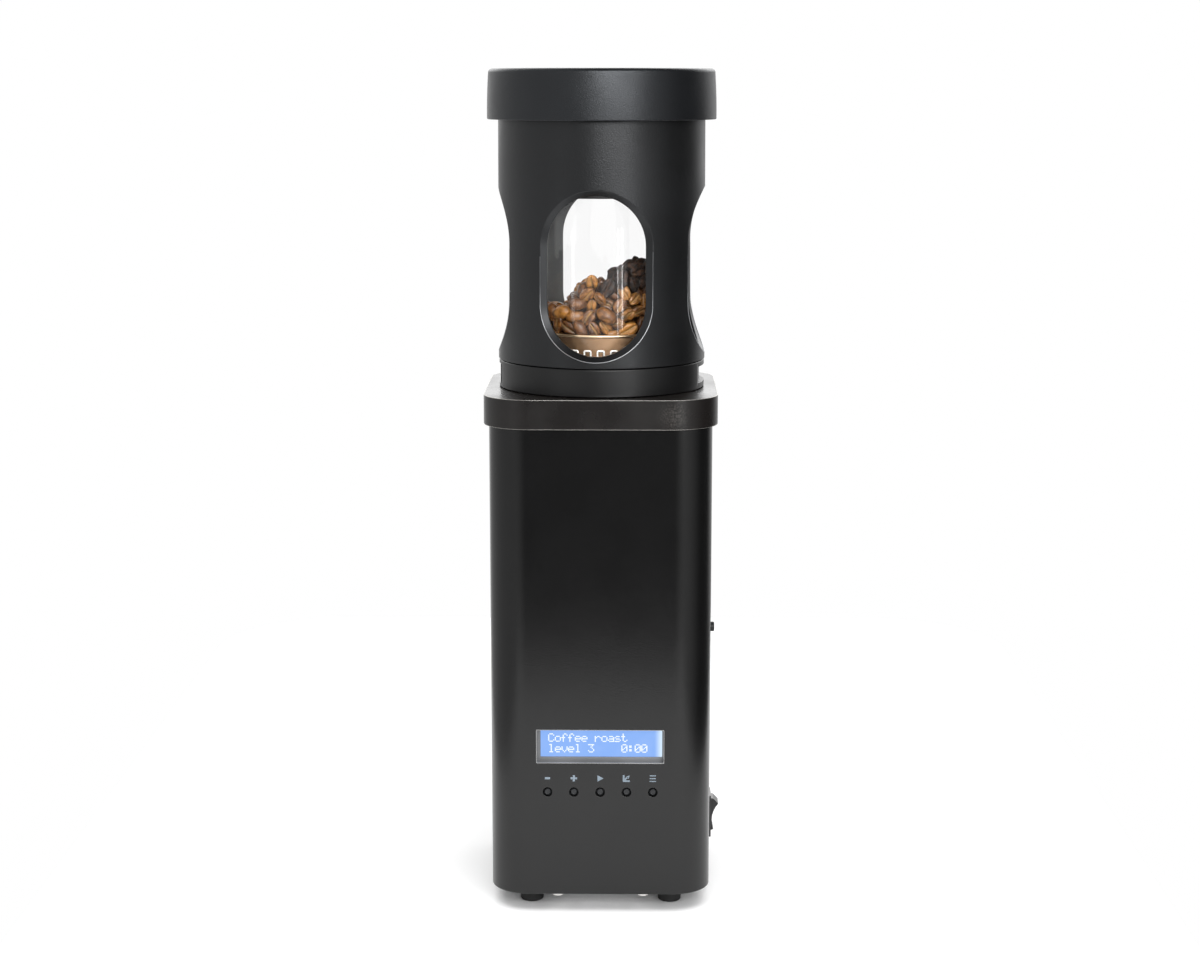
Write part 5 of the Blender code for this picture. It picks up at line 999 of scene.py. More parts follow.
@dataclass
class Basket:
    """Deep drawn brass basket with a rolled rim and pressed louvres."""

    radius: float = 0.0352
    wall: float = 0.0009
    floor: float = 0.2678
    rim: float = 0.3094
    bead: float = 0.0009
    bead_height: float = 0.0016
    shoulder: float = 0.0364
    shoulder_span: Point = (0.28395, 0.28495)
    floor_lip: float = 0.0050
    louvre_count: int = 32
    louvre_width: float = 0.0034
    louvre_span: Point = (0.2905, 0.3010)
    steps: int = 160

    def build(self) -> None:
        """Turn the drawn wall, open the louvres and raise their rims, which are near white as a painted
        highlight.
        """
        out, inner = self.radius, self.radius - self.wall
        low, high = self.shoulder_span
        lip, floor_top, under = inner - self.floor_lip, self.floor + self.wall, self.rim - 0.3 * MM
        profile = rounded([(out, under, 0), (out, high, 0.0003), (self.shoulder, high, 0.0003),
                           (self.shoulder, low, 0.0003), (out, low, 0.0003), (out, self.floor, 0.0008),
                           (lip, self.floor, 0.0003), (lip, floor_top, 0.0003), (inner, floor_top, 0.0005),
                           (inner, under, 0)], 5)
        cuts, rims = Stock(), Stock()
        low, high = self.louvre_span
        half = self.louvre_width / 2 - 0.25 * MM
        inside = half - 0.55 * MM
        outline = [(-half, low), (-inside, low), (-inside, high - 0.8 * MM), (inside, high - 0.8 * MM),
                   (inside, low), (half, low), (half, high - 0.25 * MM), (-half, high - 0.25 * MM)]
        for place in turns(self.louvre_count):
            cuts.loft([[place @ Vector((r, y, z)) for y, z in outline] for r in (inner - MM, out + MM)])
            rims.tube([place @ p for p in self.arch()], 0.48 * MM)
        wall = Stock().turn(profile, self.steps).carve(cuts)
        wall.piece("brass_basket", "chamber", BRASS_SHEET, ["roast_basket"], sharp=50)
        bead = (inner - 0.05 * MM, out + self.bead, self.rim - self.bead_height, self.rim)
        Stock().turn(ring_profile(bead, 0.0007, 0.0004, 5), self.steps).piece(
            "rolled_rim", "chamber", BRASS_RIM, slot="roast_basket", sharp=60)
        rims.piece("louvre_rims", "chamber", LOUVRE_HIGHLIGHT, slot="roast_basket", sharp=60)
        soften("distributor_plate", "air_plate", SATIN_STEEL, body="chamber")

    def arch(self) -> list[Vector]:
        """Centre line of the raised rim round a louvre.

        Returns:
            Its points, for the louvre on the X axis.
        """
        low, high = self.louvre_span
        half, reach = self.louvre_width / 2, self.radius + 0.05 * MM
        corners = [(-half, low, 0), (-half, high, 0.7 * MM), (half, high, 0.7 * MM), (half, low, 0)]
        return [Vector((math.sqrt(reach ** 2 - y ** 2), y, z)) for y, z in rounded(corners, closed=False)]


@dataclass
class BeanCharge:
    """Beans heaped in the glass, packed by easing them apart.

    The heap is its height at places across. Beans are dark right of a place and over a level, which
    steps up at the split.
    """

    length: float = 0.0096
    width: float = 0.0069
    flat_side: float = 0.0018
    domed_side: float = 0.0033
    spacing: float = 0.0070
    basket_wall: float = 0.0342
    basket_rim: float = 0.3094
    glass_wall: float = 0.0369
    floor: float = 0.3000
    shell: float = 0.0125
    rounds: int = 80
    seed: int = 11
    heap: tuple[Point, ...] = ((-0.036, 0.3225), (-0.028, 0.3230), (-0.019, 0.3245), (-0.0125, 0.3320),
                               (-0.0085, 0.3395), (-0.001, 0.3400), (0.0035, 0.3372), (0.0080, 0.3420),
                               (0.0126, 0.3450), (0.0165, 0.3475), (0.0234, 0.3485), (0.036, 0.3485))
    heap_fall: float = 0.25
    heap_top: float = 0.3600
    layers: int = 14
    half_rows: int = 8
    row_pitch: float = 0.87
    row_shift: float = 0.29
    layer_pitch: float = 0.82
    jitter: float = 0.9 * MM
    margin: float = 3.6 * MM
    easing: float = 0.28
    crease_angles: tuple[float, ...] = (0, 6, 12, 20, 33, 52, 74, 97, 122, 150)
    crease_depth: float = 0.0013
    crease_width: float = 0.00062
    stations: int = 13
    sizes: Point = (0.84, 1.18)
    dark_roast: Point = (0.0, 0.12)
    brown_roast: Corner = (0.28, 1.05, 0.5)
    dark_left: float = 0.0015
    dark_split: float = 0.013
    dark_levels: Point = (0.3312, 0.3335)
    dark_blur: float = 0.0012

    def surface(self, spots: np.ndarray) -> np.ndarray:
        """Height of the heap over each bean's centre.

        Args:
            spots: One row of coordinates for each bean.

        Returns:
            Heights of the heap.
        """
        xs, zs = zip(*self.heap)
        fall = self.heap_fall * np.maximum(spots[:, 1], 0.0)
        return np.minimum(np.interp(spots[:, 0], xs, zs) - fall, self.heap_top)

    def reach(self, spots: np.ndarray) -> np.ndarray:
        """Farthest that each bean's centre may be from the axis."""
        low = spots[:, 2] < self.basket_rim + 2 * MM
        return np.where(low, self.basket_wall, self.glass_wall) - self.margin

    def pack(self) -> np.ndarray:
        """Centres of the beans, from a jittered lattice that is eased apart.

        Returns:
            One row of coordinates for each bean.
        """
        rng = np.random.default_rng(self.seed)
        gap = self.spacing
        places = range(-self.half_rows, self.half_rows + 1)
        rows = [(i * gap + gap / 2 * ((j + k) % 2), j * gap * self.row_pitch + (k % 2) * gap * self.row_shift,
                 self.floor + 2 * MM + k * gap * self.layer_pitch)
                for k in range(self.layers) for j in places for i in places]
        spots = np.array(rows) + rng.normal(0, self.jitter, (len(rows), 3))
        inside = np.hypot(spots[:, 0], spots[:, 1]) < self.reach(spots) + 2 * MM
        spots = spots[inside & (spots[:, 2] < self.surface(spots) - self.domed_side)]
        for _ in range(self.rounds):
            apart = spots[:, None] - spots[None]
            far = np.linalg.norm(apart, axis=2) + np.eye(len(spots))
            push = np.clip(gap - far, 0, None)[..., None] * apart / far[..., None]
            spots = spots + self.easing * push.sum(axis=1)
            away = np.hypot(spots[:, 0], spots[:, 1])
            spots[:, :2] *= np.minimum(1.0, self.reach(spots) / np.maximum(away, MM))[:, None]
            spots[:, 2] = np.clip(spots[:, 2], self.floor, self.surface(spots) - self.domed_side)
        away = np.hypot(spots[:, 0], spots[:, 1])
        depth = self.surface(spots) - spots[:, 2]
        return spots[(away > self.glass_wall - self.shell) | (depth < self.shell)]

    def template(self) -> tuple[np.ndarray, list[float], list[tuple[int, ...]]]:
        """One bean, its long side on X and its crease on top.

        Returns:
            Its points, how far each lies in the crease, and its faces.
        """
        half_ring = [math.radians(a) for a in self.crease_angles]
        around = half_ring + [math.pi] + [-a for a in reversed(half_ring[1:])]
        points, crease = [], []
        for s in range(self.stations):
            lean = math.pi * (s + 0.5) / self.stations
            along = -math.cos(lean)
            girth = math.sin(lean) ** 0.85
            middle = 0.0004 * math.sin(2.4 * along)
            for a in around:
                y = self.width / 2 * girth * math.sin(a)
                up = math.cos(a)
                z, groove = self.domed_side * girth * up, 0.0
                if up > 0:
                    z = self.flat_side * girth * abs(up) ** 0.55
                    groove = math.exp(-((y - middle) / self.crease_width) ** 2) * (1 - along ** 6)
                points.append((self.length / 2 * along, y, z - self.crease_depth * groove))
                crease.append(groove ** 2)
        count = len(around)
        faces = [tuple(range(count))[::-1], tuple((self.stations - 1) * count + i for i in range(count))]
        faces += [(a + i, a + j, a + count + j, a + count + i)
                  for a in range(0, (self.stations - 1) * count, count)
                  for i, j in zip(range(count), [*range(1, count), 0])]
        return np.array(points), crease, faces

    def build(self) -> None:
        """Place a bean at every centre, each with its own size, lie and roast."""
        draw = random.Random(self.seed)
        noise.seed_set(self.seed)
        points, crease, faces = self.template()
        stock = Stock()
        roasts: list[float] = []
        creases: list[float] = []

        def scatter(spread: float) -> Vector:
            """Random step in space."""
            return Vector([draw.gauss(0, spread) for _ in range(3)])

        for spot in self.pack():
            out = Vector((spot[0], spot[1], 0)).normalized()
            wall = math.hypot(spot[0], spot[1]) > self.glass_wall - 8 * MM
            facing = out * draw.choice((1, 1, -1)) if wall else scatter(1)
            facing = (facing.normalized() + scatter(0.28)).normalized()
            lie = facing.cross(scatter(1)).normalized()
            size = draw.uniform(*self.sizes)
            level = self.dark_levels[0] if spot[0] < self.dark_split else self.dark_levels[1]
            dark = spot[0] > self.dark_left and spot[2] > level + draw.gauss(0, self.dark_blur)
            roast = draw.uniform(*self.dark_roast) if dark else draw.triangular(*self.brown_roast)
            bent, fineness = (0.9 * MM, 430) if dark else (0.3 * MM, 170)
            shift = Vector([draw.uniform(-1, 1) for _ in range(3)])
            turn = np.array(Matrix((lie, facing.cross(lie), facing)).transposed())
            swell = np.array([noise.noise_vector(Vector(p) * fineness + shift * 50) * bent for p in points])
            placed = (turn @ ((points + swell) * size).T).T + spot
            verts = [stock.bm.verts.new(p) for p in placed]
            for face in faces:
                stock.bm.faces.new([verts[i] for i in face])
            roasts += [roast] * len(points)
            creases += crease
        stock.layers = {"roast": roasts, "crease": creases}
        stock.piece("bean_charge", "chamber", BEAN_BROWN, ["coffee_beans"], sharp=80)


@dataclass
class Collar:
    """Ring under the sleeve with a notch on its right and a ribbed grip on its left."""

    radius: float = 0.0553
    low: float = 0.2789
    top: float = 0.29365
    bore: float = 0.0358
    groove: float = 0.0409
    groove_span: Point = (0.28365, 0.29005)
    spigot: Point = (0.0468, 0.0500)
    spigot_top: float = 0.29585
    notch_flat: float = 0.0524
    notch_span: Point = (0.2820, 0.2908)
    grip_flat: float = 0.0527
    grip_span: Point = (0.2803, 0.2915)
    rib_count: int = 5
    rib_width: float = 0.0018
    rib_pitch: float = 0.0056
    rib_radius: float = 0.0547

    def build(self) -> None:
        """Turn the ring, cut both flats and stand the ribs on the left one."""
        low, high = self.groove_span
        inner, outer = self.spigot
        ring = Stock().turn(rounded([
            (outer, self.spigot_top, 0.0004), (outer, self.top, 0.0002), (self.radius, self.top, 0.0009),
            (self.radius, self.low, 0.0005), (self.bore, self.low, 0.0005), (self.bore, low, 0.0003),
            (self.groove, low, 0.0003), (self.groove, high, 0.0003), (inner, high, 0.0004),
            (inner, self.spigot_top, 0.0004)], 4))
        wide, half, bite = self.radius, self.rib_width / 2, 0.2 * MM
        low, high = self.grip_span
        ring.carve(Stock().block((self.notch_flat, -wide, self.notch_span[0]),
                                 (wide + MM, wide, self.notch_span[1])))
        ring.carve(Stock().block((-wide - MM, -wide, low), (-self.grip_flat, wide, high)))
        ribs = Stock()
        for i in range(self.rib_count):
            y = (i - (self.rib_count - 1) / 2) * self.rib_pitch
            reach = math.sqrt(self.rib_radius ** 2 - (abs(y) + half) ** 2)
            ribs.block((-reach, y - half, low - bite), (-self.grip_flat + bite, y + half, high + bite))
        ring.carve(ribs, Carve.JOIN).move(Matrix.Rotation(UPPER_TURN, 4, "Z"))
        ring.piece("collar_band", "chamber", COLLAR_BLACK, ["collar_ring"], edge=0.00022, sharp=50)


# Body


def button_places(pitch: float) -> list[float]:
    """Places across of the five buttons."""
    return [pitch * (i - 2) for i in range(5)]


def shrink(span: Span, inset: float) -> Span:
    """Left, right, lower and upper side of a rectangle, each moved in."""
    return span[0] + inset, span[1] - inset, span[2] + inset, span[3] - inset


def panel_loop(span: Span, corner: float, y: float) -> list[Vector]:
    """Rounded rectangle that stands at a depth."""
    return [UPRIGHT @ Vector((x, z, -y)) for x, z in rounded(rect(*span, corner), 4)]


@dataclass
class Cap:
    """Rounded square cap over the body, and the steel seat in its bore."""

    half: float = 0.06179
    corner: float = 0.0255
    low: float = 0.2630
    top: float = 0.2786
    plate: float = 0.0040
    edge: float = 0.0004
    skirt: float = 0.00255
    bore: float = 0.0392
    bore_edge: float = 0.0003

    def loop(self, inset: float, z: float) -> list[Vector]:
        """Rounded square loop set in from the cap's side."""
        return square_loop(self.half - inset, self.corner - inset, z)

    def bore_loop(self, radius: float, z: float) -> list[Vector]:
        """Circle whose points face those of the square loops."""
        return [Vector((p.x, p.y, 0)).normalized() * radius + Vector((0, 0, z)) for p in self.loop(0, z)]

    def build(self) -> None:
        """Loft the cap through its edge, skirt, underside and bore, and lay pale wires on its top and bottom
        edges as a painted highlight.
        """
        under, inward = self.top - self.plate, 20 * MM
        side = rounded([(inward, self.top, 0), (0, self.top, self.edge), (0, self.low, 0.0005),
                        (self.skirt, self.low, 0.0004), (self.skirt, under, 0.0008), (inward, under, 0)],
                       6, closed=False)
        loops = [self.bore_loop(self.bore, self.top - self.bore_edge),
                 self.bore_loop(self.bore + self.bore_edge, self.top),
                 *(self.loop(*p) for p in side[1:-1]), self.bore_loop(self.bore, under)]
        Stock().loft(loops, ring=True).piece("cap_cover", "base", CAP_BLACK, ["top_cap"], sharp=50)
        edges = Stock()
        for z, thick in ((self.top - 0.2 * MM, 0.20 * MM), (self.low + 0.10 * MM, 0.10 * MM)):
            edges.tube(self.loop(thick, z), thick, closed=True)
        edges.piece("cap_edges", "base", CAP_EDGE_HIGHLIGHT, slot="top_cap", sharp=70)
        soften("seat_ring", "chamber_seat", SATIN_STEEL, 0.0002)


@dataclass
class Housing:
    """Painted rounded square body with its openings."""

    half: float = 0.05894
    corner: float = 0.0206
    wall: float = 0.0016
    low: float = 0.0100
    top: float = 0.2743
    display: Span = (-0.0341, 0.0341, 0.08305, 0.10155)
    button_pitch: float = 0.01404
    button_z: float = 0.0672
    button_hole: float = 0.0025
    highlight_trim: tuple[Point, ...] = ((0.00002, -0.05890), (0.00032, -0.05890), (0.00032, -0.0576),
                               (0.00002, -0.0576))

    def build(self) -> None:
        """Loft the wall, cut its openings where the CAD has them and ring the display's with a pale trim, a
        painted highlight.
        """
        profile = rounded([(self.wall, self.top, 0), (0, self.top, 0.0004), (0, self.low, 0.0006),
                           (self.wall, self.low, 0.0004)], 5)
        wall = Stock().loft([square_loop(self.half - inset, self.corner - inset, z, 24)
                             for inset, z in profile], ring=True)
        near, far = self.half - 4 * MM, self.half + MM
        tools = Stock().prism(rounded(rect(*self.display, 0.0006)), near, far, UPRIGHT)
        for x in button_places(self.button_pitch):
            tools.prism([(x + self.button_hole * math.cos(a), self.button_z + self.button_hole * math.sin(a))
                         for a in angles(SMALL_ROUND)], near, far, UPRIGHT)
        sides, rim = Stock(), MM
        low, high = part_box("switch_frame")
        sides.block((near, low.y + rim, low.z + rim), (far, high.y - rim, high.z - rim))
        low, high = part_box("mains_inlet")
        rim = 1.5 * MM
        sides.block((low.x + rim, near, low.z + rim), (high.x - rim, far, high.z - rim))
        wall.carve(tools).carve(sides)
        wall.piece("body_wall", "base", BODY_PAINT, ["housing_shell"], edge=0.00025, sharp=50)
        # Painted highlight: a thin pale ring just inside the display opening
        loops = [panel_loop(shrink(self.display, inset), 0.0005, y) for inset, y in self.highlight_trim]
        Stock().loft(loops, ring=True).piece("display_edge", "base", DISPLAY_EDGE_HIGHLIGHT, slot="housing_shell")


@dataclass
class Display:
    """Backlit two-line display in its bezel, with generic roasting text."""

    bezel: Span = (-0.0361, 0.0361, 0.08105, 0.10355)
    window: Span = (-0.03185, 0.03305, 0.08555, 0.10205)
    bezel_y: Point = (-0.05544, -0.05144)
    panel: Span = (-0.0350, 0.0350, 0.08215, 0.10245)
    panel_y: Point = (-0.05434, -0.05184)
    first_x: float = -0.0278
    row_tops: Point = (0.09826, 0.09239)
    dot: float = 0.00058
    dot_pitch: float = 0.000668
    character: float = 0.00355
    lines: tuple[str, str] = ("Coffee roast", "level 3    0:00")
    shapes: dict[str, tuple[int, ...]] = field(default_factory=lambda: {
        "C": (14, 17, 16, 16, 16, 17, 14), "o": (0, 0, 14, 17, 17, 17, 14), "f": (6, 9, 8, 28, 8, 8, 8),
        "e": (0, 0, 14, 17, 31, 16, 14), "r": (0, 0, 22, 25, 16, 16, 16), "a": (0, 0, 14, 1, 15, 17, 15),
        "s": (0, 0, 14, 16, 14, 1, 30), "t": (8, 8, 28, 8, 8, 9, 6), "l": (12, 4, 4, 4, 4, 4, 14),
        "v": (0, 0, 17, 17, 17, 10, 4), "3": (31, 2, 4, 2, 1, 17, 14), "0": (14, 17, 19, 21, 25, 17, 14),
        ":": (0, 12, 12, 0, 12, 12, 0)})

    def build(self) -> None:
        """Frame, panel and dots."""
        front, back = self.bezel_y
        face = self.panel_y[0]
        behind = face - 0.05 * MM
        loops = [panel_loop(*loop) for loop in (
            (self.bezel, 0.0006, back), (self.bezel, 0.0006, front),
            (shrink(self.window, -0.0004), 0.0005, front), (self.window, 0.0004, front + 0.0004),
            (self.window, 0.0004, behind), (self.panel, 0.0004, behind), (self.panel, 0.0004, back))]
        Stock().loft(loops, ring=True).piece("display_frame", "base", BEZEL_GREY, ["lcd_bezel"], sharp=30)
        glass = Stock().prism(rect(*shrink(self.panel, 0.2 * MM)), -self.panel_y[1], -face, UPRIGHT)
        glass.piece("display_glass", "base", LCD_GLASS, ["lcd_panel"], edge=0.0002)
        dots = Stock()
        for text, top in zip(self.lines, self.row_tops):
            for n, letter in enumerate(text):
                for row, bits in enumerate(self.shapes.get(letter, ())):
                    for column in (c for c in range(5) if bits >> (4 - c) & 1):
                        x = self.first_x + n * self.character + column * self.dot_pitch
                        z = top - row * self.dot_pitch
                        dots.block((x, face - 0.04 * MM, z - self.dot), (x + self.dot, face - 0.01 * MM, z))
        dots.piece("display_dots", "base", LCD_DOTS, slot="lcd_panel")


@dataclass
class Buttons:
    """Five push buttons in their holes, with the printed sign over each."""

    pitch: float = 0.01404
    z: float = 0.0672
    front: float = 0.05854
    cap: float = 0.0018
    stem: float = 0.00323
    back: float = 0.05422
    flange_front: float = 0.05522
    sign_z: float = 0.07485
    wall: float = 0.05894
    ink: float = 0.00004
    names: tuple[str, ...] = ("minus", "plus", "start", "profile", "menu")
    strokes: tuple[tuple[int, float, tuple[Point, ...]], ...] = (
        (0, 1.2, ((-1.4, 0), (1.4, 0))), (1, 1.1, ((-1.75, 0), (1.75, 0))),
        (1, 1.1, ((0, -1.75), (0, -0.55))), (1, 1.1, ((0, 0.55), (0, 1.75))),
        (2, 0, ((-1.4, -1.75), (1.8, 0), (-1.4, 1.75))), (3, 0.9, ((-1.5, 1.9), (-1.5, -1.9))),
        (3, 0.9, ((-1.05, -1.45), (1.75, -1.45))), (3, 0.9, ((-1.0, -0.75), (0.5, 0.75))),
        (3, 0, ((-0.3, 1.1), (1.0, -0.3), (1.75, 1.75))), (4, 0.55, ((-1.65, -1.55), (1.65, -1.55))),
        (4, 0.55, ((-1.65, 0.0), (1.65, 0.0))), (4, 0.55, ((-1.65, 1.55), (1.65, 1.55))))

    def build(self) -> None:
        """Turn each button, then print the signs."""
        axis, front, flange = AXIS / 2, self.front, self.flange_front
        profile = rounded([(axis, front - 0.0003, 0), (0.6 * self.cap, front - 0.00025, 0.0003),
                           (0.75 * self.cap, front, 0.0002), (self.cap, front - 0.0007, 0.0004),
                           (self.cap, flange, 0), (self.stem, flange, 0.0002),
                           (self.stem, self.back, 0), (axis, self.back, 0)], 4, closed=False)
        for name, x in zip(self.names, button_places(self.pitch)):
            stock = Stock().turn(profile, SMALL_ROUND, ring=False)
            stock.move(Matrix.Translation((x, 0, self.z)) @ UPRIGHT)
            stock.piece("push_" + name, name + "_key", BUTTON_GREY, ["button_" + name], slot="button_grey",
                        sharp=50)
        self.print_signs()

    def print_signs(self) -> None:
        """Ink of the five signs, from strokes and filled outlines in millimetres about each centre."""
        ink = Stock()
        places = button_places(self.pitch)
        for sign, thick, corners in self.strokes:
            outline = [Vector(p) for p in corners]
            if thick:
                start, end = outline
                side = (end - start).normalized().orthogonal() * (thick / 2)
                outline = [start + side, end + side, end - side, start - side]
            ink.prism([(places[sign] + p[0] * MM, self.sign_z + p[1] * MM) for p in outline],
                      self.wall, self.wall + self.ink, UPRIGHT)
        ink.piece("panel_signs", "base", MARK_GREY, slot="housing_shell")


@dataclass
class PowerSwitch:
    """Rocker switch in the right wall."""

    edge: float = 0.0003

    def build(self) -> None:
        """Soften the CAD shapes of the flange and the rocker."""
        soften("switch_frame", "switch_surround", SWITCH_BLACK, self.edge)
        soften("switch_rocker", "rocker_key", SWITCH_BLACK, self.edge, "rocker", 25)


@dataclass
class Inlet:
    """Mains inlet in the back wall, with its three pins."""

    pins: tuple[Point, ...] = ((-0.0070, 0.0350), (0.0, 0.0390), (0.0070, 0.0350))
    pin: Point = (0.0010, 0.0020)
    pin_span: Point = (0.0410, 0.0532)
    skin: float = 0.00004

    def build(self) -> None:
        """Soften the moulding and face its pins with metal."""
        soften("mains_inlet", "inlet_socket", INLET_BLACK, 0.00025)
        pins = Stock()
        wide, high = self.pin[0] + self.skin, self.pin[1] + self.skin
        near, far = self.pin_span
        outline = rect(-wide, wide, -high, high)
        tip = [(x * 0.6, z * 0.8) for x, z in outline]
        for x, z in self.pins:
            pins.loft([[Vector((x + a, y, z + b)) for a, b in shape] for shape, y in
                       ((outline, near), (outline, far - 0.8 * MM), (tip, far + self.skin))])
        pins.piece("inlet_pins", "base", SCREW_STEEL, slot="mains_inlet", edge=0.00015)


def pan_screw(head: float, height: float, shank: float, length: float, place: Matrix) -> Stock:
    """Pan head screw with a cross recess, its head towards +Z.

    Args:
        head: Radius of the head.
        height: Height of the head over the face that it sits on.
        shank: Radius of the shank.
        length: Length of the shank.
        place: Where it goes.

    Returns:
        The screw's stock.
    """
    axis = AXIS / 2
    dome = ((0.50, 1.0), (0.78, 0.985), (0.90, 0.95), (0.97, 0.88), (1.0, 0.78), (1.0, 0.10))
    profile = [(axis, height), *((head * r, height * z) for r, z in dome),
               (head * 0.96, 0), (shank, 0), (shank, -length), (axis, -length)]
    screw = Stock().turn(profile, SMALL_ROUND, ring=False)
    outline = rect(-head * 0.55, head * 0.55, -head * 0.13, head * 0.13)
    tip = [(x * 0.35, y * 0.7) for x, y in outline]
    for angle in (0.3, 0.3 + math.pi / 2):
        turn = Matrix.Rotation(angle, 4, "Z")
        screw.carve(Stock().loft([[turn @ Vector((x, y, z)) for x, y in shape]
                                  for shape, z in ((tip, height * 0.35), (outline, height * 1.1))]))
    return screw.move(place)


@dataclass
class Underside:
    """Feet, screws and the base plate."""

    foot_pitch: float = 0.0375
    foot_radius: float = 0.00685
    foot_tip: float = 0.00617
    foot_height: float = 0.0100
    foot_plug: float = 0.0020
    foot_bore: float = 0.0014
    base_head: Point = (0.0031, 0.0032)
    base_shank: float = 0.0015
    side_head: float = 0.0026
    side_shank: float = 0.0014
    wall: float = 0.05894

    def build(self) -> None:
        """Turn the feet and the screws and soften the base plate."""
        for i, name in enumerate(("front_left", "front_right", "rear_left", "rear_right")):
            node = "foot_" + name
            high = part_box(node)[1].z
            profile = rounded([(self.foot_bore, 0.0014, 0), (0.0030, 0.0010, 0.0003), (0.0036, 0.0, 0.0004),
                               (self.foot_tip, 0.0, 0.0010), (self.foot_radius, self.foot_height, 0.0003),
                               (self.foot_plug, self.foot_height, 0), (self.foot_plug, high, 0),
                               (self.foot_bore, high, 0)], 5, closed=False)
            at = (self.foot_pitch * (1 if i % 2 else -1), self.foot_pitch * (1 if i > 1 else -1), 0)
            Stock().turn(profile, 72, ring=False).move(Matrix.Translation(at)).piece(
                "rubber_" + name, "base", FOOT_RUBBER, [node], slot="foot_rubber", sharp=50)
        head, height = self.base_head
        for i in range(1, 5):
            node = "base_screw_%d" % i
            low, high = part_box(node)
            place = Matrix.Translation(((low.x + high.x) / 2, (low.y + high.y) / 2, low.z + height))
            place = place @ Matrix.Rotation(math.pi, 4, "X")
            pan_screw(head, height, self.base_shank, high.z - low.z - height, place).piece(
                "pan_screw_%d" % i, "base", SCREW_HEAD_REFLECTION, [node], slot="base_screw_steel", sharp=35)
        for side in ("front", "rear"):
            node = "side_screw_" + side
            low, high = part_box(node)
            place = Matrix.Translation((self.wall, (low.y + high.y) / 2, (low.z + high.z) / 2))
            place = place @ Matrix.Rotation(math.pi / 2, 4, "Y")
            pan_screw(self.side_head, high.x - self.wall, self.side_shank, self.wall - low.x, place).piece(
                "wall_screw_" + side, "base", SCREW_BLACK, [node], slot="side_screw_steel", sharp=35)
        soften("base_plate", "floor_plate", DULL_STEEL, 0.0002)


@dataclass
class Workings:
    """Parts inside the body that keep their CAD shape."""

    finishes: dict[str, Finish] = field(default_factory=lambda: {
        "panel_carrier": MOULDED_BLACK, "control_board": BOARD_GREEN, "power_board": BOARD_GREEN,
        "blower_stand": MOULDED_BLACK, "blower_motor": MOTOR_STEEL, "blower_housing": MOULDED_BLACK,
        "blower_wheel": MOULDED_BLACK, "motor_shaft": SCREW_STEEL, "heater_tube": MOTOR_STEEL,
        "heater_former": CARD_TAN, "heater_coil": WIRE_METAL, "temperature_probe": SATIN_STEEL,
        "thermal_cutout": DULL_STEEL})

    def build(self) -> None:
        """Give each node its finish."""
        for node, finish in self.finishes.items():
            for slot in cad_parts[node].material_slots:
                slot.material = finish.material()
            LOG.info("%s keeps its CAD shape, finish %s", node, finish.name)


# Studio


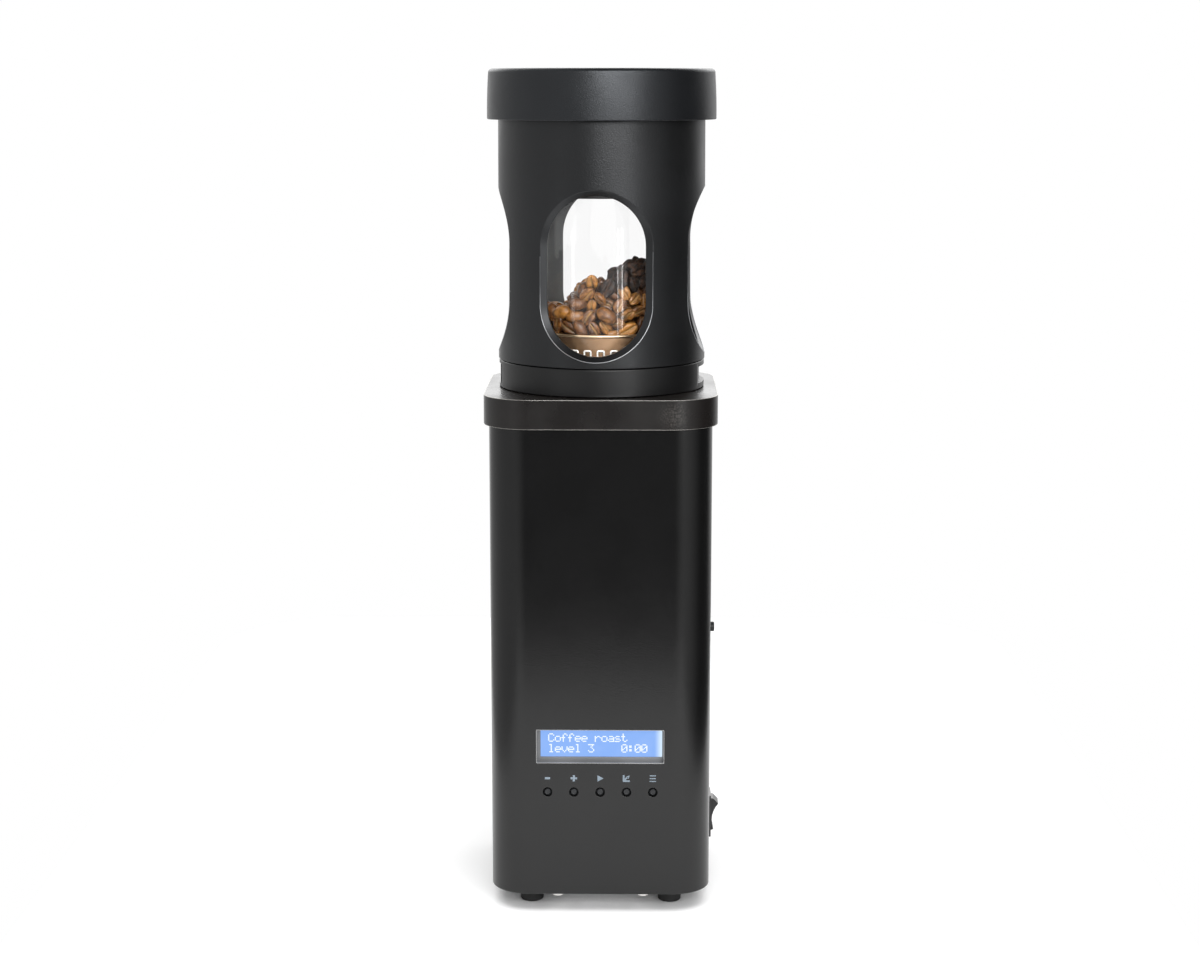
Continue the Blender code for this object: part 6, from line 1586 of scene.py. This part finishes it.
@dataclass
class Studio:
    """Pale floor, soft lamps, plain world and the camera."""

    floor: Span = (-0.31, 0.31, -0.57, 0.62)
    floor_corner: float = 0.10
    camera_at: Corner = (0.01668, -1.22087, 0.44082)
    camera_tilt: float = 80.02
    camera_turn: float = 0.826
    lens: float = 67.99
    sensor: float = 36.0
    key: tuple[Corner, Corner, Point, float] = ((0.55, -2.3, 1.12), (0.0, 0.0, 0.42), (1.75, 1.0), 8.6)
    overhead: tuple[Corner, Corner, Point, float] = ((0.0, -0.30, 2.2), (0.0, 0.0, 0.0), (3.0, 2.3), 2.3)
    strips: tuple[tuple[str, float, float, float], ...] = (
        ("strip_near", 25.2, 0.0110, 9.5), ("strip_far", 32.4, 0.0130, 14.5),
        ("strip_band", 28.8, 0.06, 0.9), ("strip_left", -44.0, 0.035, 2.0))
    strip_reach: float = 0.5
    strip_heights: Point = (0.245, 0.335)

    def build(self) -> None:
        """Lay the floor, hang the lamps, fill the world and place the camera."""
        self.lay_floor()
        self.fill_world()
        self.lamp("key", *self.key)
        self.lamp("top", *self.overhead).visible_glossy = False
        low, high = self.strip_heights
        middle = (low + high) / 2
        for name, bearing, width, radiance in self.strips:
            way = math.radians(bearing)
            at = (self.strip_reach * math.sin(way), -self.strip_reach * math.cos(way), middle)
            self.lamp(name, at, (0.0, 0.0, middle), (width, high - low), radiance)
        lens = bpy.data.cameras.new("camera")
        lens.lens, lens.sensor_width = self.lens, self.sensor
        camera = bpy.data.objects.new("camera", lens)
        camera.location = self.camera_at
        camera.rotation_euler = (math.radians(self.camera_tilt), 0, math.radians(self.camera_turn))
        bpy.context.scene.collection.objects.link(camera)
        bpy.context.scene.camera = camera
        bpy.context.scene.view_settings.view_transform = "Standard"

    def lamp(self, name: str, at: Corner, target: Corner, size: Point, radiance: float) -> bpy.types.Object:
        """Hang a soft lamp.

        Args:
            name: Name of the lamp.
            at: Its place.
            target: Point that it faces.
            size: Its width and height.
            radiance: Brightness of its face, where 1 shows as white.

        Returns:
            The lamp.
        """
        light = bpy.data.lights.new(name, "AREA")
        light.shape, light.size, light.size_y = "RECTANGLE", size[0], size[1]
        light.energy = radiance * math.pi * size[0] * size[1]
        made = bpy.data.objects.new(name, light)
        made.location, made.visible_camera = at, False
        made.rotation_euler = (Vector(target) - Vector(at)).to_track_quat("-Z", "Y").to_euler()
        bpy.context.scene.collection.objects.link(made)
        return made

    def lay_floor(self) -> None:
        """Pale sheet that keeps the shadow of the roaster, with a painted contact shadow under it."""
        stock = Stock()
        outline = rounded(rect(*self.floor, self.floor_corner), 24)
        stock.bm.faces.new([stock.bm.verts.new((x, y, 0.0)) for x, y in outline])
        floor = stock.settle("floor")
        material = bpy.data.materials.new("floor_white")
        material.use_nodes = True
        graph = Graph(material.node_tree)
        shade = graph.blend(graph.noise(3.0, 2.0), (0.93, 0.93, 0.93), (0.95, 0.95, 0.95))
        # Painted shadow: ambient occlusion darkens the floor's colour and dims its camera lift close under
        # the roaster
        painted_shade_ao = graph.add("AmbientOcclusion", {"Distance": 14 * MM}, samples=8).outputs["AO"]
        shade = graph.blend(graph.remap(painted_shade_ao, (0.1, 0.8), (0.45, 0.0)), shade, (0.05, 0.05, 0.05))
        seen = graph.add("LightPath").outputs["Is Camera Ray"]
        graph.surface({"Base Color": shade, "Roughness": 0.85, "Specular IOR Level": 0.1,
                       "Emission Color": (1.0, 1.0, 1.0, 1.0),
                       "Emission Strength": graph.times(seen, graph.remap(painted_shade_ao, (0.3, 0.9), (0.0, 0.17)))})
        floor.data.materials.append(material)
        stock.bm.free()

    def fill_world(self) -> None:
        """White for what the camera sees, and a pale back with a dim front for reflections."""
        world = bpy.data.worlds.new("studio")
        world.use_nodes = True
        bpy.context.scene.world = world
        graph = Graph(world.node_tree)
        rays = graph.add("LightPath").outputs
        x, y, z = graph.add("SeparateXYZ", {0: graph.add("TexCoord").outputs["Generated"]}).outputs
        left = graph.remap(y, (0.75, 0.98), (0.58, 1.0))
        upper = graph.remap(z, (-0.30, -0.06), (0.25, 1.0))
        far = graph.times(graph.remap(y, (0.45, 0.95), (0.0, 0.93)), upper)
        right = graph.calc("ADD", graph.remap(y, (-0.85, 0.05), (0.65, 0.07)), far)
        span = graph.calc("SUBTRACT", left, right)
        room = graph.calc("MULTIPLY_ADD", graph.remap(x, (0.1, -0.1)), span, right)
        aside = graph.remap(graph.calc("ABSOLUTE", x), (0.08, 0.55), (0.22, 1.0))
        room = graph.times(room, graph.calc("MAXIMUM", aside, graph.remap(y, (0.0, 0.4))))
        above = graph.times(graph.remap(z, (0.06, 0.22), (0.0, 2.0)), graph.remap(y, (0.35, 0.85)))
        glossy = graph.times(rays["Is Glossy Ray"], graph.calc("ADD", room, above))
        plain = graph.calc("SUBTRACT", 1.0, rays["Is Glossy Ray"])
        seen = graph.calc("MAXIMUM", rays["Is Camera Ray"], rays["Is Transmission Ray"])
        strength = graph.calc("MAXIMUM", seen, graph.calc("MULTIPLY_ADD", plain, 0.38, glossy))
        sky = graph.add("Background", {0: (1.0, 1.0, 1.0, 1.0), 1: strength})
        graph.add("OutputWorld", {"Surface": sky.outputs[0]})


def main() -> None:
    """Build the assemblies in order."""
    logging.basicConfig(level=logging.INFO, format="%(name)s %(message)s")
    assemblies = (Housing(), Cap(), Display(), Buttons(), PowerSwitch(), Inlet(), Underside(), Workings(),
                  Collar(), Basket(), RoastTube(), BeanCharge(), Sleeve(), ChaffBowl(), Lid(), Studio())
    for assembly in assemblies:
        assembly.build()
        LOG.info("%s done", type(assembly).__name__)


if __name__ == "__main__":
    main()
